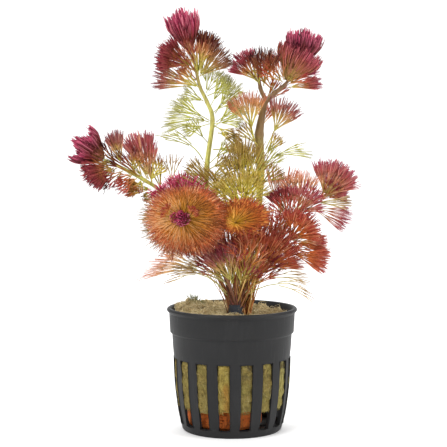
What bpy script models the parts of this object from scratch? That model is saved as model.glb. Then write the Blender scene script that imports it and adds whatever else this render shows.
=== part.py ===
"""Potted red cabomba: feathery water plant shoots in rock wool, in a slotted net pot.

The pot stands on z = 0 with its axis on the world's Z, and the front of the plant faces -Y.
Places on the plant are written in millimetres as the front view shows them, at the middle plane:
x to the right, z up, and y the depth towards the back. The function at() turns them into space.
"""
import math

import bmesh
import bpy
from mathutils import Vector

MM = 0.001

# Net pot
POT_HEIGHT = 49.0
SLOT_COUNT = 16
SLOT_TURN = math.radians(-8.6)
SLOT_HALF_WIDTH = math.radians(6.1)
SLOT_BOTTOM = 2.8
SLOT_TOP = 29.5
FLOOR_TOP = 1.4
FLOOR_SLOT_COUNT = 8
FLOOR_SLOT_LENGTH = 8.0
FLOOR_SLOT_WIDTH = 2.6
FLOOR_SLOT_RADIUS = 11.5
WALL_OUTSIDE = [
    (19.4, 0.0),
    (20.0, 0.6),
    (20.5, SLOT_BOTTOM),
    (22.0, 11.0),
    (22.9, 19.0),
    (23.3, SLOT_TOP),
    (24.0, 37.2),
    (24.8, 38.4),
    (25.2, 46.6),
    (26.0, 47.4),
    (26.0, 48.5),
    (25.5, POT_HEIGHT),
]
WALL_INSIDE = [
    (24.5, POT_HEIGHT),
    (23.7, 46.6),
    (22.9, 37.2),
    (22.2, SLOT_TOP),
    (21.8, 19.0),
    (20.9, 11.0),
    (19.4, SLOT_BOTTOM),
    (19.1, FLOOR_TOP),
]

# Clay disc in the bottom of the pot
CLAY_RADIUS = 15.0
CLAY_OFFSET = -3.0
CLAY_BOTTOM = 1.8
CLAY_TOP = 9.0
CLAY_EDGE = 1.2
CLAY_SIDES = 24

# Rock wool plug
WOOL_GAP = 0.4
WOOL_BOTTOM = 9.6
WOOL_TOP = 47.4
WOOL_COLUMNS = 24

# Band round the feet of the stems
BUNCH_X = 1.3
BUNCH_Y = -11.0
BAND_OUTER = 3.0
BAND_INNER = 2.55
BAND_BOTTOM = 43.0
BAND_TOP = 51.5
BAND_SIDES = 16
POCKET_RADIUS = BAND_OUTER + 0.5
POCKET_BOTTOM = BAND_BOTTOM - 1.0
FOOT_CIRCLE = 1.7
FOOT_RADIUS = 0.6
FOOT_BOTTOM = BAND_BOTTOM + 0.5

# Front view: where the eye is that sees the places as they are written
VIEW_DISTANCE = 500.0
EYE_X = -3.4
EYE_Z = 113.4

# Leaves and shoot tips
STALK_WIDTH = 0.8
BLADE_THICKNESS = 0.6
STEM_SIDES = 8
TIP_SIDES = 12
TIP_NOTCH = 0.88
SAGGING = 10.0
SAG_SPREAD = 0.22

COLOURS = {
    "pot_plastic": (0.045, 0.045, 0.048),
    "rock_wool": (0.42, 0.34, 0.14),
    "fired_clay": (0.52, 0.10, 0.025),
    "band_rubber": (0.04, 0.045, 0.055),
    "stem_green": (0.30, 0.26, 0.06),
    "leaf_green": (0.40, 0.42, 0.12),
    "leaf_orange": (0.50, 0.16, 0.04),
    "leaf_red": (0.32, 0.06, 0.05),
    "leaf_pink": (0.36, 0.05, 0.11),
    "leaf_pale": (0.60, 0.40, 0.24),
}


def at(x, z, y):
    """Return the point in space that the front view shows at x, z and that lies at depth y."""
    scale = (VIEW_DISTANCE + y) / VIEW_DISTANCE
    return Vector((EYE_X + (x - EYE_X) * scale, y, EYE_Z + (z - EYE_Z) * scale))


def material(name):
    """Return the plain material of one kind of surface."""
    made = bpy.data.materials.get(name)
    if made:
        return made
    made = bpy.data.materials.new(name)
    made.use_nodes = True
    shader = made.node_tree.nodes["Principled BSDF"]
    shader.inputs["Base Color"].default_value = (*COLOURS[name], 1.0)
    shader.inputs["Roughness"].default_value = 0.95 if name == "rock_wool" else 0.55
    return made


def add_object(name, bm, surface):
    """Turn a bmesh in millimetres into a named object in metres."""
    bmesh.ops.scale(bm, vec=(MM, MM, MM), verts=bm.verts)
    bmesh.ops.recalc_face_normals(bm, faces=bm.faces)
    mesh = bpy.data.meshes.new(name)
    bm.to_mesh(mesh)
    bm.free()
    mesh.shade_smooth()
    mesh.set_sharp_from_angle(angle=math.radians(40))
    made = bpy.data.objects.new(name, mesh)
    bpy.context.collection.objects.link(made)
    mesh.materials.append(material(surface))
    return made


def cut(target, cutter, operation="DIFFERENCE"):
    """Combine a cutter with the target, then remove the cutter."""
    boolean = target.modifiers.new(cutter.name, "BOOLEAN")
    boolean.object = cutter
    boolean.operation = operation
    bpy.context.view_layer.update()
    depsgraph = bpy.context.evaluated_depsgraph_get()
    result = bpy.data.meshes.new_from_object(target.evaluated_get(depsgraph))
    target.modifiers.clear()
    target.data = result
    bpy.data.objects.remove(cutter)
    result.shade_smooth()
    result.set_sharp_from_angle(angle=math.radians(40))


def skin_rings(bm, rings, closed=True):
    """Join a list of rings of vertices with quads, ring to ring and round each ring."""
    count = len(rings[0])
    for near, far in zip(rings, rings[1:]):
        for i in range(count if closed else count - 1):
            j = (i + 1) % count
            bm.faces.new((near[i], near[j], far[j], far[i]))


def tube(bm, points, radii, sides):
    """Add a closed tube along points, with a radius at each of them."""
    rings = []
    for i, point in enumerate(points):
        ahead = points[min(i + 1, len(points) - 1)]
        behind = points[max(i - 1, 0)]
        along = (ahead - behind).normalized()
        across = along.cross(Vector((0, 1, 0))).normalized()
        up = along.cross(across)
        ring = []
        for k in range(sides):
            turn = 2 * math.pi * k / sides
            ring.append(bm.verts.new(point + (across * math.cos(turn) + up * math.sin(turn)) * radii[i]))
        rings.append(ring)
    skin_rings(bm, rings)
    bm.faces.new(rings[0])
    bm.faces.new(rings[-1])


def pot_columns():
    """Return the angles of the pot's columns, four to a slot: its start, middle and end, and the rib."""
    pitch = 2 * math.pi / SLOT_COUNT
    angles = []
    for slot in range(SLOT_COUNT):
        middle = SLOT_TURN + slot * pitch
        angles += [middle - SLOT_HALF_WIDTH, middle, middle + SLOT_HALF_WIDTH, middle + pitch / 2]
    return angles


def build_pot():
    """Turn the wall of the pot, leave its slots open and cut the slots in its floor."""
    bm = bmesh.new()
    angles = pot_columns()
    columns = len(angles)

    def ring(radius, z):
        return [bm.verts.new((radius * math.sin(a), -radius * math.cos(a), z)) for a in angles]

    outside = [ring(*point) for point in WALL_OUTSIDE]
    inside = [ring(*point) for point in WALL_INSIDE]

    def in_slot(low, high, column):
        return low >= SLOT_BOTTOM and high <= SLOT_TOP and column % 4 < 2

    def wall(rings, profile):
        for i in range(len(rings) - 1):
            low = min(profile[i][1], profile[i + 1][1])
            high = max(profile[i][1], profile[i + 1][1])
            for column in range(columns):
                after = (column + 1) % columns
                if not in_slot(low, high, column):
                    bm.faces.new((rings[i][column], rings[i][after], rings[i + 1][after], rings[i + 1][column]))

    wall(outside, WALL_OUTSIDE)
    wall(inside, WALL_INSIDE)
    skin_rings(bm, [outside[-1] + outside[-1][:1], inside[0] + inside[0][:1]], closed=False)
    bm.faces.new(outside[0])
    bm.faces.new(inside[-1])

    slot_outside = [r for r, p in zip(outside, WALL_OUTSIDE) if SLOT_BOTTOM <= p[1] <= SLOT_TOP]
    slot_inside = [r for r, p in zip(inside, WALL_INSIDE) if SLOT_BOTTOM <= p[1] <= SLOT_TOP][::-1]
    for slot in range(SLOT_COUNT):
        first = slot * 4
        for edge in (first, first + 2):
            strip = list(zip(slot_outside, slot_inside))
            for (low_out, low_in), (high_out, high_in) in zip(strip, strip[1:]):
                bm.faces.new((low_out[edge], low_in[edge], high_in[edge], high_out[edge]))
        for level in (0, -1):
            for column in (first, first + 1):
                out, inn = slot_outside[level], slot_inside[level]
                bm.faces.new((out[column], out[column + 1], inn[column + 1], inn[column]))

    pot = add_object("pot", bm, "pot_plastic")
    for slot in range(FLOOR_SLOT_COUNT):
        turn = SLOT_TURN + 2 * math.pi * slot / FLOOR_SLOT_COUNT
        cutter = bmesh.new()
        bmesh.ops.create_cube(cutter, size=1.0)
        bmesh.ops.scale(cutter, vec=(FLOOR_SLOT_WIDTH, FLOOR_SLOT_LENGTH, 4 * FLOOR_TOP), verts=cutter.verts)
        bmesh.ops.translate(cutter, vec=(0, -FLOOR_SLOT_RADIUS, 0), verts=cutter.verts)
        for vert in cutter.verts:
            x, y = vert.co.x, vert.co.y
            vert.co.x = x * math.cos(turn) - y * math.sin(turn)
            vert.co.y = x * math.sin(turn) + y * math.cos(turn)
        cut(pot, add_object("floor_slot_cutter", cutter, "pot_plastic"))


def turned_rings(bm, profile, x, y, sides):
    """Add a ring of vertices round the upright axis at x, y for each radius and height of a profile."""
    turns = [2 * math.pi * k / sides for k in range(sides)]
    return [[bm.verts.new((x + radius * math.cos(t), y + radius * math.sin(t), z)) for t in turns]
            for radius, z in profile]


def build_clay_disc():
    """Turn the clay disc, with a worn edge, a little left of the pot's axis."""
    bm = bmesh.new()
    profile = [
        (CLAY_RADIUS - CLAY_EDGE, CLAY_BOTTOM),
        (CLAY_RADIUS, CLAY_BOTTOM + CLAY_EDGE),
        (CLAY_RADIUS, CLAY_TOP - CLAY_EDGE),
        (CLAY_RADIUS - CLAY_EDGE, CLAY_TOP),
    ]
    rings = turned_rings(bm, profile, CLAY_OFFSET, 0.0, CLAY_SIDES)
    skin_rings(bm, rings)
    bm.faces.new(rings[0])
    bm.faces.new(rings[-1])
    add_object("clay_disc", bm, "fired_clay")


def inside_radius(z):
    """Return the radius of the pot's inner wall at height z."""
    wall = WALL_INSIDE[::-1]
    for (r0, z0), (r1, z1) in zip(wall, wall[1:]):
        if z0 <= z <= z1:
            return r0 + (r1 - r0) * (z - z0) / (z1 - z0)
    return wall[-1][0]


def wool_height(x, y):
    """Return the height of the wool's lumpy top: high at the back left, low at the back right."""
    lean = -0.075 * x
    lumps = 0.7 * math.sin(0.55 * x + 1.0) * math.cos(0.42 * y) + 0.4 * math.sin(0.9 * y + 0.4 * x)
    return WOOL_TOP + lean + lumps


def build_wool():
    """Make the wool plug from rings that follow the pot's wall, and sink the pocket for the bunch."""
    bm = bmesh.new()
    turns = [2 * math.pi * k / WOOL_COLUMNS for k in range(WOOL_COLUMNS)]
    rings = []
    for z in (WOOL_BOTTOM, 19.0, 29.5, 37.2, 44.5):
        radius = inside_radius(z) - WOOL_GAP
        rings.append([bm.verts.new((radius * math.sin(t), -radius * math.cos(t), z)) for t in turns])
    for radius in (22.6, 17.0, 10.0):
        ring = []
        for t in turns:
            x, y = radius * math.sin(t), -radius * math.cos(t)
            ring.append(bm.verts.new((x, y, wool_height(x, y))))
        rings.append(ring)
    skin_rings(bm, rings)
    bm.faces.new(rings[0])
    crown = bm.verts.new((0, 0, wool_height(0, 0)))
    for i in range(WOOL_COLUMNS):
        bm.faces.new((rings[-1][i], rings[-1][(i + 1) % WOOL_COLUMNS], crown))
    wool = add_object("wool_plug", bm, "rock_wool")

    pocket = bmesh.new()
    depth = 2 * (BAND_TOP - POCKET_BOTTOM)
    bmesh.ops.create_cone(pocket, cap_ends=True, segments=BAND_SIDES, radius1=POCKET_RADIUS,
                          radius2=POCKET_RADIUS, depth=depth)
    bmesh.ops.translate(pocket, vec=(BUNCH_X, BUNCH_Y, POCKET_BOTTOM + depth / 2), verts=pocket.verts)
    cut(wool, add_object("pocket_cutter", pocket, "rock_wool"))


def build_band():
    """Turn the band that holds the feet of the stems together."""
    bm = bmesh.new()
    profile = [(BAND_INNER, BAND_BOTTOM), (BAND_OUTER, BAND_BOTTOM), (BAND_OUTER, BAND_TOP), (BAND_INNER, BAND_TOP)]
    rings = turned_rings(bm, profile, BUNCH_X, BUNCH_Y, BAND_SIDES)
    skin_rings(bm, rings + rings[:1])
    add_object("stem_band", bm, "band_rubber")


def foot(turn):
    """Return the two points of a stem's foot in the band; turn is None for the one in the middle."""
    x, y = BUNCH_X, BUNCH_Y
    if turn is not None:
        x += FOOT_CIRCLE * math.cos(math.radians(turn))
        y += FOOT_CIRCLE * math.sin(math.radians(turn))
    return [Vector((x, y, FOOT_BOTTOM)), Vector((x, y, BAND_TOP))]


# Each stem: the turn of its foot in the band, then x, z, depth and radius along it, and the same for a fork
STEMS = {
    "stem_left": (210, [
        (-4.0, 66.0, -8, 0.8), (-9.4, 89.0, -2, 0.9), (-10.0, 105.0, -1, 1.0), (-7.8, 123.5, 0, 0.9),
        (-10.0, 131.0, 0, 0.8), (-12.8, 137.0, 0, 0.7), (-14.4, 144.0, 0, 0.6), (-16.0, 150.0, 0, 0.5),
    ], []),
    "stem_right": (78, [
        (6.5, 66.0, -4, 0.9), (10.6, 90.0, 0, 1.3), (11.4, 105.0, 0, 1.7), (10.8, 118.0, 0, 1.8),
        (12.4, 127.8, 0, 1.2), (13.2, 131.6, 0, 1.0), (11.2, 136.5, 0, 0.8), (10.2, 144.0, 0, 0.5),
    ], [
        (12.9, 130.2, 0, 0.9), (17.2, 134.6, 0, 0.9), (20.8, 137.6, 0, 0.7), (23.6, 141.4, 0, 0.6),
        (25.8, 147.0, 0, 0.5),
    ]),
    "stem_side": (150, [
        (-6.8, 64.0, 0, 0.7), (-16.8, 82.0, 8, 0.8), (-28.0, 95.0, 8, 0.8), (-34.8, 99.8, 4, 0.8),
        (-40.8, 103.2, 2, 0.8), (-46.0, 105.8, 0, 0.7), (-51.0, 108.0, 0, 0.6),
    ], []),
    "stem_front_left": (270, [
        (-3.6, 64.0, -16, 0.7), (-11.0, 76.0, -19, 0.7), (-18.4, 83.6, -20, 0.6),
    ], []),
    "stem_lower_right": (330, [
        (8.0, 61.0, -10, 0.8), (17.0, 73.0, -8, 0.8), (23.0, 83.6, -6, 0.8), (29.0, 89.8, -4, 0.7),
        (36.0, 93.2, -2, 0.6),
    ], []),
    "stem_middle": (None, [
        (2.6, 62.0, -11, 0.8), (3.6, 76.0, -8, 0.8), (5.0, 88.0, -6, 0.7), (5.8, 96.0, -5, 0.6),
    ], [
        (2.4, 60.0, -11.2, 0.6), (2.8, 68.0, -14, 0.6), (2.2, 77.0, -17, 0.6), (1.6, 83.0, -18.5, 0.5),
    ]),
}


def build_stem(name, turn, trunk, fork):
    """Run a tube from the band along the shoot, and join the fork to it where it has one."""
    bm = bmesh.new()
    line = foot(turn) + [at(x, z, y) for x, z, y, _ in trunk]
    radii = [FOOT_RADIUS, FOOT_RADIUS] + [entry[3] for entry in trunk]
    tube(bm, line, radii, STEM_SIDES)
    stem = add_object(name, bm, "stem_green")
    if fork:
        branch = bmesh.new()
        tube(branch, [at(x, z, y) for x, z, y, _ in fork], [entry[3] for entry in fork], STEM_SIDES)
        cut(stem, add_object(name + "_fork", branch, "stem_green"), "UNION")


def leaf_axes(base, tip, sag, roll):
    """Return the leaf's own directions: along it, across it, and out of its face to the front."""
    along = tip - sag - base
    length = along.length
    along = along.normalized()
    across = along.cross(Vector((0, -1, 0))).normalized()
    face = across.cross(along)
    turn = math.radians(roll)
    turned = across * math.cos(turn) + face * math.sin(turn)
    return along, turned, turned.cross(along), length


def edge_reach(edge, side):
    """Return how far the leaf reaches at a side from -1 to 1, between the hand-set reaches."""
    if len(edge) == 1:
        return edge[0]
    place = (side + 1) / 2 * (len(edge) - 1)
    low = min(int(place), len(edge) - 2)
    return edge[low] + (edge[low + 1] - edge[low]) * (place - low)


def leaf_point(leaf, reach, side):
    """Return a point of the leaf's middle surface: reach runs from 0 at the stem to 1 at the rim."""
    base, tip, sag = at(*leaf["base"]), at(*leaf["tip"]), Vector(leaf["sag"])
    along, across, face, length = leaf_axes(base, tip, sag, leaf["roll"])
    stalk = leaf["stalk"]
    start = leaf["start"] / length
    t = start + (1 - start) * reach
    blade = max(0.0, (t - stalk) / (1 - stalk)) * edge_reach(leaf["edge"], side)
    angle = math.radians(leaf["spread"]) * side
    width = STALK_WIDTH / 2 * side * (1 - 0.3 * min(1.0, blade))
    point = base + along * (min(t, stalk) * length)
    fan = (1 - stalk) * length * blade
    point += along * (fan * math.cos(angle)) + across * (fan * math.sin(angle) + width)
    point += face * (leaf["cup"] * fan * blade * side * side)
    travelled = min(t, stalk) + (1 - stalk) * blade
    return point + sag * (travelled ** 2 * (1 + SAG_SPREAD * side * across.dot(sag.normalized())))


def build_leaf(name, leaf):
    """Make one fan leaf: a thin stalk that opens into a cupped blade."""
    bm = bmesh.new()
    columns = 4 if leaf["spread"] < 25 else 6 if leaf["spread"] < 40 else 8
    rows = [0.0, max(0.02, leaf["stalk"]), 0.5 + leaf["stalk"] / 2, 1.0]
    if Vector(leaf["sag"]).length > SAGGING:
        rows.insert(1, rows[1] / 2)
    sides = [2 * i / columns - 1 for i in range(columns + 1)]
    _, _, face, _ = leaf_axes(at(*leaf["base"]), at(*leaf["tip"]), Vector(leaf["sag"]), leaf["roll"])
    rings = []
    for reach in rows:
        half = face * (BLADE_THICKNESS / 2)
        middle = [leaf_point(leaf, reach, side) for side in sides]
        front = [bm.verts.new(p + half) for p in middle]
        back = [bm.verts.new(p - half) for p in reversed(middle)]
        rings.append(front + back)
    skin_rings(bm, rings)
    last = 2 * (columns + 1) - 1
    for ring in (rings[0], rings[-1]):
        for i in range(columns):
            bm.faces.new((ring[i], ring[i + 1], ring[last - i - 1], ring[last - i]))
    add_object(name, bm, leaf["surface"])


def fan(base, tip, spread, surface, stalk=0.12, sag=(0, 0, 0), cup=0.16, roll=0, edge=(1.0,), start=1.2):
    """Describe a fan leaf by its two ends, half its opening in degrees and how it bends."""
    return {"base": base, "tip": tip, "spread": spread, "surface": surface, "stalk": stalk, "sag": sag,
            "cup": cup, "roll": roll, "edge": edge, "start": start}


LEAVES = {
    # Left shoot, from its tip down
    "leaf_left_1": fan((-15.2, 144.6, 0), (-29.2, 151.4, -5), 30, "leaf_red"),
    "leaf_left_2": fan((-13.8, 143.6, 0), (-8.2, 158.4, -3), 24, "leaf_red"),
    "leaf_left_3": fan((-12.8, 140.6, 0), (-2.2, 151.6, -8), 26, "leaf_red"),
    "leaf_left_4": fan((-12.8, 137.0, 0), (-31.2, 141.4, 2), 20, "leaf_orange"),
    "leaf_left_5": fan((-10.6, 133.6, -0.4), (-6.0, 144.4, 5), 34, "leaf_green"),
    "leaf_left_6": fan((-7.4, 125.4, -0.4), (2.2, 139.6, -3), 30, "leaf_green", stalk=0.3),
    "leaf_left_7": fan((-8.0, 122.6, 0), (-27.0, 126.0, -5), 24, "leaf_green", sag=(0, 0, -3)),
    "leaf_left_8": fan((-11.2, 107.0, -1), (-28.0, 118.6, 3), 14, "leaf_pale", stalk=0.45, sag=(-11, 0, -5)),
    "leaf_left_9": fan((-6.8, 118.6, 0), (6.4, 107.8, -4), 20, "leaf_pale", sag=(-1, 0, -12)),
    # Right shoot
    "leaf_right_1": fan((10.4, 138.4, 0), (1.8, 149.6, -5), 32, "leaf_red"),
    "leaf_right_2": fan((12.6, 136.2, -0.6), (12.8, 152.0, -9), 26, "leaf_red"),
    "leaf_right_3": fan((21.2, 136.4, -0.5), (35.4, 138.8, -3), 14, "leaf_pink"),
    "leaf_right_4": fan((9.2, 114.6, -1.8), (4.6, 134.6, -7), 36, "leaf_orange", stalk=0.32),
    "leaf_right_5": fan((12.8, 111.0, 0), (22.6, 131.6, -4), 34, "leaf_pink", stalk=0.42),
    "leaf_right_6": fan((12.6, 106.2, 0), (31.0, 111.6, 1), 12, "leaf_green", sag=(4, 0, -7), stalk=0.3),
    # Middle shoot
    "leaf_middle_1": fan((4.6, 94.0, -5.4), (5.2, 117.6, -12), 22, "leaf_green"),
    "leaf_middle_2": fan((4.0, 88.0, -7), (2.8, 103.4, -12), 44, "leaf_green"),
    "leaf_middle_3": fan((3.8, 82.0, -7), (-18.2, 104.0, -8), 18, "leaf_pale", sag=(-4, 0, -8)),
    # Side shoot
    "leaf_side_1": fan((-46.0, 105.2, 0), (-58.0, 98.4, -6), 34, "leaf_red"),
    "leaf_side_2": fan((-44.0, 105.2, 0), (-47.2, 119.0, -5), 18, "leaf_orange"),
    "leaf_side_3": fan((-33.0, 99.2, 4), (-37.4, 117.8, 0), 22, "leaf_pink"),
    "leaf_side_4": fan((-31.0, 96.2, 5.5), (-43.0, 94.6, 0), 24, "leaf_green"),
    "leaf_side_5": fan((-24.0, 91.0, 8), (-24.0, 110.4, 4), 26, "leaf_pale", stalk=0.45),
    "leaf_side_6": fan((-18.5, 84.5, 8), (-20.8, 103.0, -1), 30, "leaf_pink", stalk=0.4),
    # Lower right shoot
    "leaf_lower_1": fan((23.0, 84.6, -6), (18.7, 97.6, -5), 34, "leaf_red"),
    "leaf_lower_2": fan((24.6, 85.4, -6.5), (32.4, 96.4, -13), 42, "leaf_pink"),
    "leaf_lower_3": fan((18.8, 78.0, -7), (20.6, 105.0, 0), 24, "leaf_pale", stalk=0.3),
    "leaf_lower_4": fan((35.6, 92.4, -3.4), (46.8, 105.0, -4), 62, "leaf_red",
                        edge=(0.95, 0.92, 1.0, 1.0, 1.0, 0.62, 0.58)),
    "leaf_lower_5": fan((30.0, 89.6, -4), (47.2, 83.4, -7), 20, "leaf_pink"),
    "leaf_lower_6": fan((22.4, 75.4, -7), (31.4, 86.0, -14), 46, "leaf_orange"),
    "leaf_lower_7": fan((20.0, 74.6, -8), (37.6, 74.4, -6), 20, "leaf_orange", stalk=0.35),
    "leaf_lower_8": fan((16.6, 72.0, -8), (38.6, 67.2, -9), 24, "leaf_red", stalk=0.4),
    "leaf_lower_9": fan((9.8, 62.4, -11.4), (24.0, 76.6, -18), 38, "leaf_red"),
    "leaf_lower_10": fan((19.0, 76.0, -8), (1.0, 75.0, -21), 15, "leaf_red", sag=(0, 0, -5)),
    # Round the foot of the bunch
    "leaf_foot_1": fan((3.4, 57.0, -13.5), (5.0, 71.6, -17.5), 28, "leaf_orange"),
    "leaf_foot_2": fan((0.6, 57.4, -15.5), (-7.6, 75.4, -22.5), 24, "leaf_pink"),
    "leaf_foot_3": fan((-1.2, 54.0, -13), (-32.6, 67.0, -12), 18, "leaf_pale", stalk=0.5, sag=(-12, 0, -24)),
    "leaf_foot_4": fan((-1.4, 52.6, -13), (-25.6, 61.8, -16), 8, "leaf_pale", stalk=0.6, sag=(-8, 0, -18)),
    "leaf_foot_5": fan((4.4, 54.0, -12), (30.4, 62.2, -12), 12, "leaf_pale", stalk=0.45, sag=(4, 0, -14)),
    "leaf_foot_6": fan((4.6, 52.8, -13), (32.8, 54.6, -17), 8, "leaf_pale", stalk=0.5, sag=(2, 0, -18)),
    # At the back
    "leaf_back_1": fan((-7.0, 122.4, 0.6), (4.0, 130.4, 12), 24, "leaf_orange", stalk=0.3),
    "leaf_back_2": fan((11.0, 118.0, 2), (14.0, 130.0, 18), 24, "leaf_orange", stalk=0.3),
    "leaf_back_3": fan((5.0, 88.0, -4), (2.0, 98.0, 16), 30, "leaf_orange", stalk=0.3),
}


# Each shoot tip: base, tip, its width and height as seen, then how far along and how wide each ring is
BUD = [(0.0, 0.16), (0.3, 0.62), (0.65, 1.0), (1.0, 0.92)]
BOWL = [(0.0, 0.1), (0.6, 0.45), (1.0, 0.78), (0.8, 1.0)]
TIPS = {
    "tip_left": ((-16.8, 150.8, 0), (-20.4, 165.6, -1), 6.8, 6.8, BUD, "leaf_pink"),
    "tip_right": ((25.2, 147.8, 0), (28.6, 158.0, -1), 7.4, 7.4, BUD, "leaf_pink"),
    "whorl_right": ((21.8, 139.4, 0), (27.6, 151.8, -1), 9.8, 9.8, BUD, "leaf_red"),
    "tip_side": ((-51.2, 108.2, 0), (-61.6, 113.8, -1), 8.6, 7.0, BUD, "leaf_pink"),
    "whorl_front_left": ((-18.6, 84.0, -21), (-19.4, 83.4, -33), 16.4, 13.6, BOWL, "leaf_orange"),
    "tip_front_left": ((-19.2, 84.2, -25), (-21.2, 85.4, -36), 4.0, 4.0, BUD, "leaf_pink"),
    "whorl_front": ((1.8, 84.8, -19.5), (3.4, 84.8, -27), 10.2, 8.0, BOWL, "leaf_orange"),
}


def build_tip(name, base, tip, wide, high, profile, surface):
    """Make a shoot tip: young leaves grown together in a cup round the stem, with a lobed rim."""
    bm = bmesh.new()
    base, tip = at(*base), at(*tip)
    axis = tip - base
    along = axis.normalized()
    upright = abs(along.y) < 0.7
    across = along.cross(Vector((0, -1, 0)) if upright else Vector((0, 0, 1))).normalized()
    up = across.cross(along)
    outer, inner = [], []
    for step, (reach, width) in enumerate(profile):
        before, after = profile[max(step - 1, 0)], profile[min(step + 1, len(profile) - 1)]
        rise = (after[0] - before[0]) * axis.length
        spread = (after[1] - before[1]) * (wide + high) / 2
        slope = math.hypot(rise, spread)
        rim = step == len(profile) - 1
        out_ring, in_ring = [], []
        for k in range(TIP_SIDES):
            turn = 2 * math.pi * k / TIP_SIDES
            lobe = TIP_NOTCH if rim and k % 2 else 1.0
            spoke = across * (math.cos(turn) * wide) + up * (math.sin(turn) * high)
            outside = base + axis * reach + spoke * (width * lobe)
            inwards = (along * spread - spoke.normalized() * rise) / slope
            out_ring.append(bm.verts.new(outside))
            in_ring.append(bm.verts.new(outside + inwards * BLADE_THICKNESS))
        outer.append(out_ring)
        inner.append(in_ring)
    skin_rings(bm, outer + inner[::-1] + outer[:1])
    add_object(name, bm, surface)


def main():
    for old in list(bpy.data.objects):
        bpy.data.objects.remove(old)
    build_pot()
    build_clay_disc()
    build_wool()
    build_band()
    for name, (turn, trunk, fork) in STEMS.items():
        build_stem(name, turn, trunk, fork)
    for name, leaf in LEAVES.items():
        build_leaf(name, leaf)
    for name, entry in TIPS.items():
        build_tip(name, *entry)


main()
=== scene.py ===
import math
import random

import bpy
import numpy as np
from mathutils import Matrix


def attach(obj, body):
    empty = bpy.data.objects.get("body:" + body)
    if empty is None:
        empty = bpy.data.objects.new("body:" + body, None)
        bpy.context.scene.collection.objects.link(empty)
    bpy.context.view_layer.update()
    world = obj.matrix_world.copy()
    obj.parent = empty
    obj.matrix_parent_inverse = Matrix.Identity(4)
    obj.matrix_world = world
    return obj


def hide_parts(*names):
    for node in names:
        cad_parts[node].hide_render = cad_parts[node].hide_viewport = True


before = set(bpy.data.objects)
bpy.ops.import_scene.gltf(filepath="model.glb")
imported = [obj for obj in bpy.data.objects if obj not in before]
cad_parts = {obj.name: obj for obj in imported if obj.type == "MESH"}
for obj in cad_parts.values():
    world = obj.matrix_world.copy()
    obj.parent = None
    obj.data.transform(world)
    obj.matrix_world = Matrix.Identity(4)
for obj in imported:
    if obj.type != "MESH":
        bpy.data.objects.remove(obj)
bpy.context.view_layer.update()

# Net pot
# Moulded in one shot from black polypropylene: a flared lip, a plain collar and a slatted wall whose
# slots run down to the flat floor. Handling has scuffed it, and tap water has left a thin grey film.
MM = 0.001
POT_HEIGHT = 49.0
SLOT_COUNT = 16
SLOT_TURN = math.radians(-8.6)
SLOT_HALF_WIDTH = math.radians(6.1)
SLOT_BOTTOM = 2.8
SLOT_TOP = 29.5
SLOT_CORNER = 0.4
FLOOR_TOP = 1.4
FLOOR_SLOTS = 8
FLOOR_SLOT_SIZE = (2.6, 8.0)
FLOOR_SLOT_RADIUS = 11.5
EDGE_ROUNDING = 0.28
EDGE_ANGLE = math.radians(48)
CREASE_ANGLE = math.radians(35)
CELLS = 4
WALL_OUTSIDE = [
    (19.4, 0.0), (20.0, 0.6), (20.5, SLOT_BOTTOM), (21.3, 6.5), (22.0, 11.0), (22.5, 15.0), (22.9, 19.0),
    (23.15, 24.0), (23.3, SLOT_TOP), (23.7, 33.5), (24.0, 38.7), (24.8, 39.3), (25.0, 42.5), (25.2, 46.9),
    (25.9, 47.7), (26.1, 48.1), (26.0, 48.6), (25.6, POT_HEIGHT),
]
WALL_INSIDE = [
    (24.5, POT_HEIGHT), (23.7, 46.6), (22.9, 37.2), (22.2, SLOT_TOP), (22.05, 24.0), (21.8, 19.0),
    (21.4, 15.0), (20.9, 11.0), (20.3, 6.5), (19.4, SLOT_BOTTOM), (19.1, FLOOR_TOP),
]


class Value:
    """One socket of a material, on which plain arithmetic adds the Math nodes."""

    def __init__(self, surface, socket):
        self.surface = surface
        self.socket = socket

    def math(self, operation, first, second):
        return self.surface.node("ShaderNodeMath", {"operation": operation}, {0: first, 1: second})

    def __add__(self, other):
        return self.math("ADD", self, other)

    def __sub__(self, other):
        return self.math("SUBTRACT", self, other)

    def __rsub__(self, other):
        return self.math("SUBTRACT", other, self)

    def __mul__(self, other):
        return self.math("MULTIPLY", self, other)

    __radd__ = __add__
    __rmul__ = __mul__


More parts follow.
